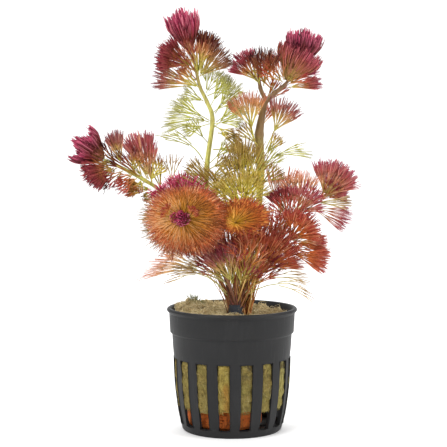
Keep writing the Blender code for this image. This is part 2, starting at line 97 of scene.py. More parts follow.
class Surface:
    """A material built round one Principled shader, whose plain numbers are set on its own sockets."""

    def __init__(self, name, settings):
        self.material = bpy.data.materials.new(name)
        self.material.use_nodes = True
        self.tree = self.material.node_tree
        self.shader = self.tree.nodes["Principled BSDF"]
        for socket, value in settings.items():
            self.feed(self.shader.inputs[socket], value)

    def feed(self, socket, value):
        if isinstance(value, Value):
            self.tree.links.new(value.socket, socket)
        elif isinstance(value, tuple) and len(value) == 3 and len(socket.default_value) == 4:
            socket.default_value = (*value, 1.0)
        else:
            socket.default_value = value

    def node(self, kind, settings, sockets, out=0):
        made = self.tree.nodes.new(kind)
        for name, value in settings.items():
            setattr(made, name, value)
        for name, value in sockets.items():
            self.feed(made.inputs[name], value)
        return Value(self, made.outputs[out])

    def place(self):
        return self.node("ShaderNodeTexCoord", {}, {}, out=3)

    def thread_map(self):
        return self.node("ShaderNodeUVMap", {"uv_map": "OFBake"}, {})

    def part(self, place, which):
        return self.node("ShaderNodeSeparateXYZ", {}, {0: place}, out=which)

    def noise(self, place, scale, detail=3.0, rough=0.55):
        settings = {"Vector": place, "Scale": scale, "Detail": detail, "Roughness": rough}
        return self.node("ShaderNodeTexNoise", {}, settings)

    def stretch(self, place, by):
        return self.node("ShaderNodeVectorMath", {"operation": "MULTIPLY"}, {0: place, 1: by})

    def between(self, value, low, high, to_low=0.0, to_high=1.0):
        return self.node("ShaderNodeMapRange", {}, {0: value, 1: low, 2: high, 3: to_low, 4: to_high})

    def ramp(self, value, stops):
        blend = self.node("ShaderNodeValToRGB", {}, {0: value})
        elements = blend.socket.node.color_ramp.elements
        while len(elements) < len(stops):
            elements.new(1.0)
        for element, (place, colour) in zip(elements, stops):
            element.position = place
            element.color = (*colour, 1.0)
        return blend

    def mix(self, factor, first, second):
        return self.node("ShaderNodeMix", {"data_type": "RGBA"}, {0: factor, 6: first, 7: second}, out=2)

    def bump(self, height, strength, distance):
        return self.node("ShaderNodeBump", {}, {"Height": height, "Strength": strength, "Distance": distance})

    def finish(self, **links):
        for name, value in links.items():
            self.feed(self.shader.inputs[name.replace("_", " ").title()], value)
        return self.material


def tint(red, green, blue):
    """Turn a colour as the eye names it, 0 to 255, into the linear values that a shader takes."""
    return tuple(c / 3294.6 if c <= 10.3 else ((c / 255 + 0.055) / 1.055) ** 2.4 for c in (red, green, blue))


def add_piece(name, mesh, material, replaces):
    """Put a finished mesh into the plant as a piece that stands for CAD nodes, or for none."""
    mesh.shade_smooth()
    mesh.materials.append(material)
    piece = bpy.data.objects.new(name, mesh)
    bpy.context.collection.objects.link(piece)
    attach(piece, "root")
    if replaces:
        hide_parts(*replaces)
    return piece


def new_piece(name, vertices, faces, material, replaces, slot):
    """Add a piece whose vertices are given in millimetres."""
    mesh = bpy.data.meshes.new(name)
    mesh.from_pydata([tuple(c * MM for c in v) for v in vertices], [], faces)
    mesh.validate()
    return add_piece(name, mesh, material, replaces)


def pot_mesh():
    """Turn the wall from its two outlines, leaving the slots open with rounded corners."""
    pitch = 2 * math.pi / SLOT_COUNT
    angles, drops = [], []
    for slot in range(SLOT_COUNT):
        middle = SLOT_TURN + slot * pitch
        for cell in range(CELLS):
            across = 2 * cell / CELLS - 1
            angles.append(middle + SLOT_HALF_WIDTH * across)
            drops.append(SLOT_CORNER * across ** 4)
        for cell in range(CELLS):
            angles.append(middle + SLOT_HALF_WIDTH + (pitch - 2 * SLOT_HALF_WIDTH) * cell / CELLS)
            drops.append(SLOT_CORNER)
    columns = len(angles)
    outline = WALL_OUTSIDE + WALL_INSIDE
    vertices, faces = [], []
    for radius, z in outline:
        for angle, drop in zip(angles, drops):
            height = z - drop if z == SLOT_TOP else z + drop if z == SLOT_BOTTOM else z
            vertices.append((radius * math.sin(angle), -radius * math.cos(angle), height))

    def corner(row, column):
        return row * columns + column % columns

    def open_cell(low, high, column):
        return min(low, high) >= SLOT_BOTTOM and max(low, high) <= SLOT_TOP and column % (2 * CELLS) < CELLS

    for row in range(len(outline) - 1):
        for column in range(columns):
            if open_cell(outline[row][1], outline[row + 1][1], column):
                continue
            faces.append((corner(row, column), corner(row, column + 1), corner(row + 1, column + 1),
                          corner(row + 1, column)))
    faces.append(tuple(corner(0, c) for c in reversed(range(columns))))
    faces.append(tuple(corner(len(outline) - 1, c) for c in range(columns)))
    outside = [i for i, (_, z) in enumerate(WALL_OUTSIDE) if SLOT_BOTTOM <= z <= SLOT_TOP]
    inside = [len(WALL_OUTSIDE) + i for i, (_, z) in enumerate(WALL_INSIDE) if SLOT_BOTTOM <= z <= SLOT_TOP]
    inside.reverse()
    for slot in range(SLOT_COUNT):
        first = slot * 2 * CELLS
        last = first + CELLS
        for (o0, i0), (o1, i1) in zip(zip(outside, inside), zip(outside[1:], inside[1:])):
            faces.append((corner(o0, first), corner(o1, first), corner(i1, first), corner(i0, first)))
            faces.append((corner(o0, last), corner(i0, last), corner(i1, last), corner(o1, last)))
        for column in range(first, last):
            o0, i0, o1, i1 = outside[0], inside[0], outside[-1], inside[-1]
            after = column + 1
            faces.append((corner(o0, column), corner(i0, column), corner(i0, after), corner(o0, after)))
            faces.append((corner(o1, column), corner(o1, after), corner(i1, after), corner(i1, column)))
    return vertices, faces


def floor_cutter():
    """Add the eight bars that cut the slots of the floor, hidden from every view."""
    vertices, faces = [], []
    for slot in range(FLOOR_SLOTS):
        turn = SLOT_TURN + 2 * math.pi * slot / FLOOR_SLOTS
        sine, cosine = math.sin(turn), math.cos(turn)
        start = len(vertices)
        for z in (-2 * FLOOR_TOP, 2 * FLOOR_TOP):
            for side, reach in ((-1, -1), (1, -1), (1, 1), (-1, 1)):
                x = side * FLOOR_SLOT_SIZE[0] / 2
                y = -FLOOR_SLOT_RADIUS + reach * FLOOR_SLOT_SIZE[1] / 2
                vertices.append((x * cosine - y * sine, x * sine + y * cosine, z))
        for face in ((3, 2, 1, 0), (4, 5, 6, 7), (0, 1, 5, 4), (1, 2, 6, 5), (2, 3, 7, 6), (3, 0, 4, 7)):
            faces.append(tuple(start + i for i in face))
    mesh = bpy.data.meshes.new("floor_slots")
    mesh.from_pydata([tuple(c * MM for c in v) for v in vertices], [], faces)
    return mesh


def cut_floor(piece, cutter_mesh):
    """Cut the floor slots, then round every moulded edge a little."""
    cutter = bpy.data.objects.new("floor_slots", cutter_mesh)
    bpy.context.collection.objects.link(cutter)
    boolean = piece.modifiers.new("floor_slots", "BOOLEAN")
    boolean.object = cutter
    bevel = piece.modifiers.new("moulded_edges", "BEVEL")
    bevel.width = EDGE_ROUNDING * MM
    bevel.segments = 2
    bevel.limit_method = "ANGLE"
    bevel.angle_limit = EDGE_ANGLE
    bpy.context.view_layer.update()
    finished = bpy.data.meshes.new_from_object(piece.evaluated_get(bpy.context.evaluated_depsgraph_get()))
    piece.modifiers.clear()
    piece.data = finished
    finished.shade_smooth()
    finished.set_sharp_from_angle(angle=CREASE_ANGLE)
    bpy.data.objects.remove(cutter)


def pot_plastic():
    made = Surface("pot_plastic", {"Specular IOR Level": 0.16})
    place = made.place()
    cloudy = made.noise(place, 55.0, 4.0)
    film = made.between(made.noise(made.stretch(place, (1.0, 1.0, 0.35)), 130.0, 5.0, 0.7), 0.5, 0.78)
    scuffs = made.between(made.noise(made.stretch(place, (1.0, 1.0, 0.06)), 900.0, 2.0), 0.58, 0.72)
    grain = made.noise(place, 2600.0, 2.0)
    colour = made.mix(cloudy, tint(32, 32, 32), tint(42, 42, 43))
    colour = made.mix(film * 0.15, colour, tint(74, 74, 74))
    colour = made.mix(scuffs * 0.05, colour, tint(80, 80, 82))
    rough = 0.44 + cloudy * 0.12 + film * 0.14
    height = grain * 0.25 + cloudy * 0.6 + scuffs * 0.3
    return made.finish(base_color=colour, roughness=rough, normal=made.bump(height, 0.35, 0.0003))


pot = new_piece("net_pot", *pot_mesh(), pot_plastic(), ["pot"], "pot_plastic")
cut_floor(pot, floor_cutter())

# Clay disc
# A pressed and fired clay piece that weighs the pot down and feeds the plant: unglazed, orange-red,
# with pores, pale lime specks and darker wet patches. It lies loose on the pot's floor.


def fired_clay():
    made = Surface("fired_clay", {"Roughness": 0.85, "Specular IOR Level": 0.3})
    place = made.place()
    patches = made.noise(place, 210.0, 4.0)
    pores = made.between(made.noise(place, 1500.0, 3.0, 0.7), 0.34, 0.5, 1.0, 0.0)
    lime = made.between(made.noise(place, 700.0, 4.0, 0.7), 0.62, 0.7)
    colour = made.mix(patches, tint(255, 108, 34), tint(255, 158, 84))
    colour = made.mix(pores * 0.55, colour, tint(120, 44, 20))
    colour = made.mix(lime * 0.5, colour, tint(226, 176, 128))
    height = patches * 0.8 - pores
    return made.finish(base_color=colour, normal=made.bump(height, 0.8, 0.0006))


bpy.data.objects["clay_disc"].data.materials.clear()
bpy.data.objects["clay_disc"].data.materials.append(fired_clay())

# Rock wool plug
# Spun mineral fibre, wet and olive-yellow, pushed into the pot round the feet of the stems. Its side
# bulges a little into the slots, and its top is torn into lumps that stand above the rim at the left.
WOOL_TOP = 47.4
WOOL_BOTTOM = 9.6
WOOL_SIDE_TOP = 44.5
WOOL_RADIUS = 22.7
WOOL_GAP = 0.55
WOOL_HEAPS = [(-17, 9, 1.3, 40.0), (-19, -4, 0.7, 24.0)]
SLOT_BULGE = 1.15
BUNCH = (1.3, -11.0)
POCKET_RADIUS = 3.5
POCKET_SLOPE = 1.2
POCKET_DEPTH = 4.5
TOP_FIBRES = 4200
SLOT_FIBRES = 150
TUFT_FIBRES = 130
FIBRE_STEPS = 5
FIBRE_LIMIT = 23.2
FIBRE_TAPER = [0.5, 1, 1, 0.9, 0.4]
WALL_RADIUS = 22.0
TUFT = (-14.6, 9.0)
TUFT_REACH = 0.95
THREAD_SIDES = 3
MAP_MARGIN = 0.02
MAP_STEP = 0.004
rng = np.random.default_rng(11)


def wave(x, y, z, scale, seed):
    """Return smooth lumps between -1 and 1, made from a few crossed waves."""
    turn = np.random.default_rng(seed).uniform(0.6, 1.7, (5, 3)) * scale
    shift = np.random.default_rng(seed + 1).uniform(0, 6.28, 5)
    signs = np.random.default_rng(seed + 2).choice([-1.0, 1.0], (5, 3))
    total = 0
    for k in range(5):
        a, b, c = turn[k] * signs[k]
        total = total + np.sin(a * x + b * y + c * z + shift[k])
    return total / 3.2


def wool_height(x, y):
    """Return the height of the wool's top: high and lumpy at the back left, low at the back right."""
    lean = -0.075 * x
    lumps = 0.8 * np.sin(0.55 * x + 1.0) * np.cos(0.42 * y) + 0.4 * np.sin(0.9 * y + 0.4 * x)
    torn = 0.5 * wave(x, y, 0 * x, 0.9, 3) + 0.3 * wave(x, y, 0 * x, 2.1, 7)
    torn = torn - 0.9 * np.exp(-(wave(x, y, 0 * x, 0.5, 31) / 0.14) ** 2)
    heaps = sum(tall * np.exp(-((x - side) ** 2 + (y - back) ** 2) / wide)
                for side, back, tall, wide in WOOL_HEAPS)
    return WOOL_TOP + lean + lumps + torn + heaps


def pocket(x, y):
    """Return how far the wool's top sinks where the bunch stands in it."""
    near = np.hypot(x - BUNCH[0], y - BUNCH[1])
    return POCKET_DEPTH * np.clip(1 - (near - POCKET_RADIUS + POCKET_SLOPE / 2) / POCKET_SLOPE, 0, 1)


def wall_inside(z):
    """Return the radius of the pot's inner wall at height z."""
    heights = [point[1] for point in reversed(WALL_INSIDE)]
    radii = [point[0] for point in reversed(WALL_INSIDE)]
    return np.interp(z, heights, radii)


def wool_side(angle, z):
    """Return the radius of the wool's side, which bulges where a slot leaves it free."""
    pitch = 2 * math.pi / SLOT_COUNT
    off = np.abs((angle - SLOT_TURN + pitch / 2) % pitch - pitch / 2)
    free = np.clip(6.4 - 6 * off / SLOT_HALF_WIDTH, 0, 1) * (z > SLOT_BOTTOM + 1) * (z < SLOT_TOP - 0.5)
    rough = 0.2 * wave(angle * 20, z, 0 * z, 1.1, 21)
    return wall_inside(z) - WOOL_GAP + SLOT_BULGE * free + rough * free


def wool_mesh():
    columns, side_rows, top_rows = 256, 34, 24
    turns = np.linspace(0, 2 * math.pi, columns, endpoint=False)
    rings = []
    frayed = 0.8 + 0.8 * wave(turns * 22, 0 * turns, 0 * turns, 0.35, 41)
    for z in np.linspace(WOOL_BOTTOM, WOOL_SIDE_TOP, side_rows):
        z = z + np.clip(frayed, 0, 1.8) * np.clip(1 - (z - WOOL_BOTTOM) / 8, 0, 1)
        radius = wool_side(turns, z)
        rings.append(np.stack([radius * np.sin(turns), -radius * np.cos(turns), z], 1))
    for part in np.linspace(1.0, 0.06, top_rows):
        x, y = WOOL_RADIUS * part * np.sin(turns), -WOOL_RADIUS * part * np.cos(turns)
        rings.append(np.stack([x, y, wool_height(x, y) - pocket(x, y)], 1))
    vertices = [tuple(v) for ring in rings for v in ring]
    faces = []
    for low in range(0, (len(rings) - 1) * columns, columns):
        for i in range(columns):
            j = (i + 1) % columns
            faces.append((low + i, low + j, low + columns + j, low + columns + i))
    faces.append(tuple(reversed(range(columns))))
    faces.append(tuple(range((len(rings) - 1) * columns, len(rings) * columns)))
    return vertices, faces


def threads_mesh(name, points, radii, reach, tone, material, replaces, slot):
    """Join tapered three-sided threads in one mesh. points has a row of places for each thread, and the
    map of the surface holds how far along the leaf a place is and the tone of its thread."""
    count, steps = points.shape[:2]
    along = np.gradient(points, axis=1)
    along /= np.linalg.norm(along, axis=2, keepdims=True) + 1e-9
    helper = np.where(np.abs(along[..., 2:3]) < 0.9, [[[0.0, 0.0, 1.0]]], [[[1.0, 0.0, 0.0]]])
    across = np.cross(along, helper)
    across /= np.linalg.norm(across, axis=2, keepdims=True) + 1e-9
    up = np.cross(across, along)
    turns = np.arange(THREAD_SIDES) * 2 * math.pi / THREAD_SIDES
    spokes = across[:, :, None] * np.cos(turns)[:, None] + up[:, :, None] * np.sin(turns)[:, None]
    vertices = (points[:, :, None] + spokes * radii[:, :, None, None]).reshape(-1, 3) * MM

    ring = np.arange(count * steps * THREAD_SIDES).reshape(count, steps, THREAD_SIDES)
    after = np.roll(ring, -1, axis=2)
    quads = np.stack([ring[:, :-1], ring[:, 1:], after[:, 1:], after[:, :-1]], -1).reshape(-1, 4)
    caps = np.concatenate([ring[:, 0], ring[:, -1, ::-1]])
    loops = np.concatenate([quads.ravel(), caps.ravel()])
    starts = np.concatenate([np.arange(len(quads)) * 4, quads.size + np.arange(len(caps)) * THREAD_SIDES])
    mesh = bpy.data.meshes.new(name)
    mesh.vertices.add(len(vertices))
    mesh.vertices.foreach_set("co", vertices.ravel())
    mesh.loops.add(len(loops))
    mesh.loops.foreach_set("vertex_index", loops)
    mesh.polygons.add(len(starts))
    mesh.polygons.foreach_set("loop_start", starts)
    mesh.update(calc_edges=True)

    u = np.repeat(reach[:, :, None], THREAD_SIDES, 2)
    v = tone[:, None, None] * (1 - 2 * MAP_MARGIN) + MAP_MARGIN + np.zeros((1, steps, 1))
    flat = np.stack([u, v + np.arange(THREAD_SIDES) * MAP_STEP], -1)
    shift = np.array([[0.0, 0.0], [MAP_STEP, 0.0], [0.0, 0.0]])
    cap_map = np.concatenate([flat[:, 0] + shift, flat[:, -1, ::-1] - shift])
    places = np.concatenate([flat.reshape(-1, 2)[quads.ravel()], cap_map.reshape(-1, 2)])
    layer = mesh.uv_layers.new(name="OFBake")
    layer.data.foreach_set("uv", places.ravel())
    return add_piece(name, mesh, material, replaces)


def drawn(low, high, count):
    """Draw a number between two limits for each fibre, as a column."""
    return rng.uniform(low, high, count)[:, None]


def lying_fibres(s):
    """Lay fibres over the wool's top, a few of them lifted at one end."""
    count = TOP_FIBRES
    turn = drawn(0, 2 * math.pi, count)
    radius = (WOOL_RADIUS - 0.5) * np.sqrt(drawn(0, 1, count))
    angle = drawn(0, 2 * math.pi, count) + drawn(-1.2, 1.2, count) * s
    length = drawn(1.5, 6.5, count)
    x = radius * np.sin(turn) + np.cos(angle) * s * length
    y = -radius * np.cos(turn) + np.sin(angle) * s * length
    keep = np.minimum(1, FIBRE_LIMIT / np.hypot(x, y))
    x, y = x * keep, y * keep
    lift = drawn(-0.1, 0.55, count) + drawn(0, 1, count) ** 6 * 1.6 * (0.5 + s)
    return np.stack([x, y, wool_height(x, y) + lift - pocket(x, y)], -1)


def slot_fibres(s):
    """Lay fibres on the wool's side where the slots show it."""
    count = SLOT_COUNT * SLOT_FIBRES
    middle = (SLOT_TURN + np.repeat(np.arange(SLOT_COUNT), SLOT_FIBRES) * 2 * math.pi / SLOT_COUNT)[:, None]
    place = middle + drawn(-1.0, 1.0, count) * SLOT_HALF_WIDTH
    height = drawn(WOOL_BOTTOM + 0.5, SLOT_TOP - 1.5, count)
    slant = drawn(0, math.pi, count)
    length = drawn(1.5, 5.0, count)
    z = np.clip(height + np.sin(slant) * s * length, WOOL_BOTTOM, SLOT_TOP - 0.6)
    free = 0.9 * SLOT_HALF_WIDTH
    angle = np.clip(place + np.cos(slant) * s * length / WALL_RADIUS, middle - free, middle + free)
    radius = wool_side(angle, z) + drawn(-0.1, 0.3, count)
    return np.stack([radius * np.sin(angle), -radius * np.cos(angle), z], -1)


def tuft_fibres(s):
    """Stand a mossy tuft at the back left."""
    x = TUFT[0] + rng.normal(0, 1.6, TUFT_FIBRES)[:, None]
    y = TUFT[1] + rng.normal(0, 1.2, TUFT_FIBRES)[:, None]
    rise = drawn(1.2, 3.6, TUFT_FIBRES)
    lean = rng.uniform(-0.7, 0.7, (TUFT_FIBRES, 2))
    up = s + 0.5
    return np.stack([x + lean[:, :1] * up ** 1.5 * rise, y + lean[:, 1:] * up ** 1.5 * rise,
                     wool_height(x, y) + rise * up - 0.3], -1)


def wool_fibres():
    """Join the three kinds of fibres, and draw their thickness, their place on the map and their tone."""
    s = np.linspace(-0.5, 0.5, FIBRE_STEPS)
    points = np.concatenate([lying_fibres(s), slot_fibres(s), tuft_fibres(s)])
    counts = (TOP_FIBRES, SLOT_COUNT * SLOT_FIBRES, TUFT_FIBRES)

    def mixed(*limits):
        return np.concatenate([drawn(low, high, count) for (low, high), count in zip(limits, counts)])

    radii = mixed((0.05, 0.13), (0.05, 0.12), (0.05, 0.09)) * FIBRE_TAPER
    reach = np.concatenate([mixed((0, 0.9), (0, 0.9)), np.full((TUFT_FIBRES, 1), TUFT_REACH)])
    reach = reach + np.linspace(0, 0.02, FIBRE_STEPS)
    tone = mixed((0, 1), (0, 0.8), (0, 1))[:, 0]
    return points, radii, reach, tone


def rock_wool(name, fibre):
    made = Surface(name, {"Roughness": 0.95, "Specular IOR Level": 0.2})
    place = made.place()
    broad = made.noise(place, 95.0, 3.0)
    brown = made.between(made.noise(place, 330.0, 4.0, 0.65), 0.56, 0.7)
    green = made.between(made.noise(place, 160.0, 3.0), 0.52, 0.7)
    side, up = made.part(place, 0), made.part(place, 2)
    high = made.between(up, 0.036, 0.047)
    colour = made.mix(broad, tint(134, 124, 70), tint(172, 152, 88))
    mottled = made.between(made.noise(place, 700.0, 4.0, 0.7), 0.38, 0.52, 0.55, 0.0)
    colour = made.mix(mottled, colour, tint(88, 78, 46))
    # The top of the wool is lightened towards pale tan as a painted highlight, and patches on the top are
    # darkened as painted shade.
    colour = made.mix(high * 0.72, colour, tint(232, 214, 172))
    shade = made.between(made.noise(place, 240.0, 3.0), 0.42, 0.56, 0.5, 0.0)
    colour = made.mix(high * shade, colour, tint(140, 112, 66))
    colour = made.mix(brown * made.between(side, -0.012, 0.02, 0.25, 0.75), colour, tint(120, 88, 44))
    colour = made.mix(green * 0.3, colour, tint(138, 138, 70))
    yellow = made.between(side, -0.0075, -0.006) * made.between(side, -0.001, 0.0005, 1.0, 0.0)
    colour = made.mix(yellow * (1 - high) * 0.3, colour, tint(206, 178, 78))
    orange = made.between(side, -0.0045, -0.003) * made.between(side, -0.0016, -0.0008, 1.0, 0.0)
    orange = orange * (1 - high) * made.between(broad, 0.4, 0.55)
    colour = made.mix(orange * 0.45, colour, tint(186, 116, 44))
    colour = made.mix(made.between(side, 0.0165, 0.019) * (1 - high) * 0.5, colour, tint(206, 200, 128))
    dark = made.between(made.noise(place, 420.0, 3.0), 0.46, 0.56) * made.between(side, -0.002, 0.004)
    dark = dark * made.between(up, 0.0225, 0.026) * made.between(up, 0.03, 0.034, 1.0, 0.0)
    colour = made.mix(dark * 0.8, colour, tint(52, 46, 42))
    if fibre:
        spread = made.thread_map()
        reach, tone = made.part(spread, 0), made.part(spread, 1)
        colour = made.mix(made.between(tone, 0.0, 0.5, 0.75, 0.0), colour, tint(132, 112, 62))
        colour = made.mix(made.between(tone, 0.7, 1.0, 0.0, 0.6), colour, tint(238, 226, 190))
        colour = made.mix(made.between(reach, 0.93, 0.94), colour, tint(122, 124, 84))
        return made.finish(base_color=colour)
    fuzz = made.noise(place, 1900.0, 4.0, 0.7)
    colour = made.mix(made.between(fuzz, 0.3, 0.55, 0.7, 0.0), colour, tint(98, 82, 44))
    return made.finish(base_color=colour, normal=made.bump(fuzz + broad * 0.5, 0.9, 0.0008))


new_piece("wool_body", *wool_mesh(), rock_wool("rock_wool", False), ["wool_plug"], "rock_wool")
threads_mesh("wool_fibres", *wool_fibres(), rock_wool("rock_wool_fibre", True), ["wool_plug"], "rock_wool")

# Stem band
# A short dark rubber sleeve that grips the feet of the stems and is pushed down into the wool. It is
# nearly black, with a bluish wet shine and crumbs of wool on it.


def band_rubber():
    made = Surface("band_rubber", {"Specular IOR Level": 0.5})
    place = made.place()
    patches = made.noise(place, 420.0, 4.0, 0.65)
    crumbs = made.between(made.noise(place, 1300.0, 3.0), 0.62, 0.7)
    colour = made.mix(patches, tint(16, 19, 26), tint(48, 54, 66))
    colour = made.mix(crumbs * 0.6, colour, tint(150, 132, 84))
    return made.finish(base_color=colour, roughness=0.34 + patches * 0.3,
                       normal=made.bump(patches + crumbs * 0.5, 0.7, 0.0005))


bpy.data.objects["stem_band"].data.materials.clear()
bpy.data.objects["stem_band"].data.materials.append(band_rubber())

# Stems
# Round water plant stems, brittle and full of air, brown to mauve where they leave the band and
# yellow-green above, with a thickened joint wherever leaves sit. Places are as the front view shows them.
VIEW_DISTANCE = 500.0
EYE = (-3.4, 113.4)
FOOT_CIRCLE = 1.7
FOOT_RADIUS = 0.6
FOOT_SPAN = (43.5, 51.5)
STEM_SIDES = 12
STEM_STEPS = 8
BETWEEN_JOINTS = 0.96
JOINT_SWELL = 0.14
STEMS = {
    "stem_left": (210, [
        (-4.0, 66.0, -8, 0.8), (-9.4, 89.0, -2, 0.9), (-10.0, 105.0, -1, 1.0), (-7.8, 123.5, 0, 0.9),
        (-10.0, 131.0, 0, 0.8), (-12.8, 137.0, 0, 0.7), (-14.4, 144.0, 0, 0.6), (-16.0, 150.0, 0, 0.5),
    ], []),
    "stem_right": (78, [
        (6.5, 66.0, -4, 0.9), (10.6, 90.0, 0, 1.3), (11.4, 105.0, 0, 1.7), (10.8, 118.0, 0, 1.8),
        (12.4, 127.8, 0, 1.2), (13.2, 131.6, 0, 1.0), (11.2, 136.5, 0, 0.8), (10.2, 144.0, 0, 0.5),
    ], [
        (12.9, 130.2, 0, 0.9), (17.2, 134.6, 0, 0.9), (20.8, 137.6, 0, 0.7), (23.6, 141.4, 0, 0.6),
        (25.8, 147.0, 0, 0.5),
    ]),
    "stem_side": (150, [
        (-6.8, 64.0, 0, 0.7), (-16.8, 82.0, 8, 0.8), (-28.0, 95.0, 8, 0.8), (-34.8, 99.8, 4, 0.8),
        (-40.8, 103.2, 2, 0.8), (-46.0, 105.8, 0, 0.7), (-51.0, 108.0, 0, 0.6),
    ], []),
    "stem_front_left": (270, [
        (-3.6, 64.0, -16, 0.7), (-11.0, 76.0, -19, 0.7), (-18.4, 83.6, -20, 0.6),
    ], []),
    "stem_lower_right": (330, [
        (8.0, 61.0, -10, 0.8), (17.0, 73.0, -8, 0.8), (23.0, 83.6, -6, 0.8), (29.0, 89.8, -4, 0.7),
        (36.0, 93.2, -2, 0.6),
    ], []),
    "stem_middle": (None, [
        (2.6, 62.0, -11, 0.8), (3.6, 76.0, -8, 0.8), (5.0, 88.0, -6, 0.7), (5.8, 96.0, -5, 0.6),
    ], [
        (2.4, 60.0, -11.2, 0.6), (2.8, 68.0, -14, 0.6), (2.2, 77.0, -17, 0.6), (1.6, 83.0, -18.5, 0.5),
    ]),
}


def at(x, z, y):
    """Return the point in space that the front view shows at x, z and that lies at depth y."""
    scale = (VIEW_DISTANCE + y) / VIEW_DISTANCE
    return np.array([EYE[0] + (x - EYE[0]) * scale, y, EYE[1] + (z - EYE[1]) * scale])


def foot(turn):
    """Return the two ends of a stem's foot in the band; turn is None for the stem in the middle."""
    x, y = BUNCH
    if turn is not None:
        x += FOOT_CIRCLE * math.cos(math.radians(turn))
        y += FOOT_CIRCLE * math.sin(math.radians(turn))
    return [np.array([x, y, z]) for z in FOOT_SPAN]


def smooth_line(points, steps):
    """Run a smooth line through the points, a number of steps from each to the next."""
    points = np.array(points)
    ends = np.concatenate([[2 * points[0] - points[1]], points, [2 * points[-1] - points[-2]]])
    line = []
    for a, b, c, d in zip(ends, ends[1:], ends[2:], ends[3:]):
        for t in np.arange(steps) / steps:
            line.append(0.5 * (2 * b + (c - a) * t + (2 * a - 5 * b + 4 * c - d) * t ** 2
                               + (3 * b - a - 3 * c + d) * t ** 3))
    line.append(points[-1])
    return np.array(line)


def round_tube(points, radii, sides):
    """Return the vertices and faces of a closed tube along the points."""
    along = np.gradient(points, axis=0)
    along /= np.linalg.norm(along, axis=1, keepdims=True)
    across = np.cross(along, [0.0, 1.0, 0.0])
    across /= np.linalg.norm(across, axis=1, keepdims=True)
    up = np.cross(across, along)
    vertices, faces = [], []
    for point, radius, a, b in zip(points, radii, across, up):
        for k in range(sides):
            turn = 2 * math.pi * k / sides
            vertices.append(point + (a * math.cos(turn) + b * math.sin(turn)) * radius)
    for row in range(len(points) - 1):
        for i in range(sides):
            j = (i + 1) % sides
            faces.append((row * sides + j, row * sides + i, (row + 1) * sides + i, (row + 1) * sides + j))
    faces.append(tuple(range(sides)))
    faces.append(tuple(reversed(range((len(points) - 1) * sides, len(points) * sides))))
    return vertices, faces


def stem_skin():
    made = Surface("stem_skin", {"Roughness": 0.42, "Specular IOR Level": 0.45, "Subsurface Weight": 0.15,
                                 "Subsurface Radius": (0.002, 0.001, 0.0005), "Subsurface Scale": 0.5})
    place = made.place()
    side, up = made.part(place, 0), made.part(place, 2)
    streaks = made.noise(made.stretch(place, (1.0, 1.0, 0.12)), 1400.0, 3.0)
    patches = made.noise(place, 130.0, 3.0)
    height = made.between(up, 0.05, 0.155) + (patches - 0.5) * 0.16
    colour = made.ramp(height, [
        (0.0, tint(84, 52, 50)), (0.1, tint(130, 78, 48)), (0.26, tint(158, 132, 54)),
        (0.5, tint(206, 204, 104)), (0.75, tint(196, 190, 104)), (1.0, tint(156, 122, 70)),
    ])
    thick_right = made.between(side, 0.006, 0.0095) * made.between(up, 0.108, 0.118)
    colour = made.mix(thick_right * 0.85, colour, tint(124, 82, 60))
    colour = made.mix(made.between(streaks, 0.45, 0.66) * 0.5, colour, tint(96, 72, 36))
    return made.finish(base_color=colour, normal=made.bump(streaks, 0.4, 0.0003))


skin = stem_skin()
for name, (turn, trunk, fork) in STEMS.items():
    vertices, faces = [], []
    for run in ([*[(*p, FOOT_RADIUS) for p in foot(turn)], *[(*at(x, z, y), r) for x, z, y, r in trunk]],
                [(*at(x, z, y), r) for x, z, y, r in fork]):
        if run:
            line = smooth_line([entry[:3] for entry in run], STEM_STEPS)
            radius = smooth_line([(entry[3],) for entry in run], STEM_STEPS)[:, 0]
            joint = np.abs((np.arange(len(line)) % STEM_STEPS) - STEM_STEPS / 2) / (STEM_STEPS / 2)
            radius = radius * (BETWEEN_JOINTS + JOINT_SWELL * joint ** 6)
            more, sides = round_tube(line, radius, STEM_SIDES)
            faces += [tuple(len(vertices) + i for i in face) for face in sides]
            vertices += more
    new_piece("skin_" + name, vertices, faces, skin, [name], "stem_green")

# Leaves
# Each leaf is a thin stalk that forks again and again into flat soft threads, spread like a fan. The
# colour runs out along the threads, from yellow-green at the stalk to red or magenta at the tips.
THREAD_STEPS = 4
THREAD_RADIUS = 0.23
THINNER = 0.91
TAPER = 0.3
THREAD_ENDS = (0.8, 1.04)
FAN_EDGE = 1.04
PLAIN = (5, 4, 3)
FULL = (6, 4, 4)
THIN = (3, 2, 3)
FORKS = (0.3, 0.6, 0.7)
FORK_STRAY = 0.28
FORK_JITTER = 0.06
LIFT_STRAY = 0.5
LIFT_CALMS = 0.8
LIFT_AT_STALK = 0.15
LIFT_AT_TIP = 1.6
TONE_SHIFT = 0.16
FLECK_SHIFT = 0.3
IN_SHADE = 0.2
STALK_LENGTH = 0.12
STEM_GAP = 1.2
FAN_HOLLOW = 0.16
FRONT_STALK = 0.9
LAYER_SHARE = 0.38
SAG_SPREAD = 0.22
LAYER_DEPTH = 3.2
PAINTED_BACK_SHADE = 0.12
COLOUR_DELAY = 1.1
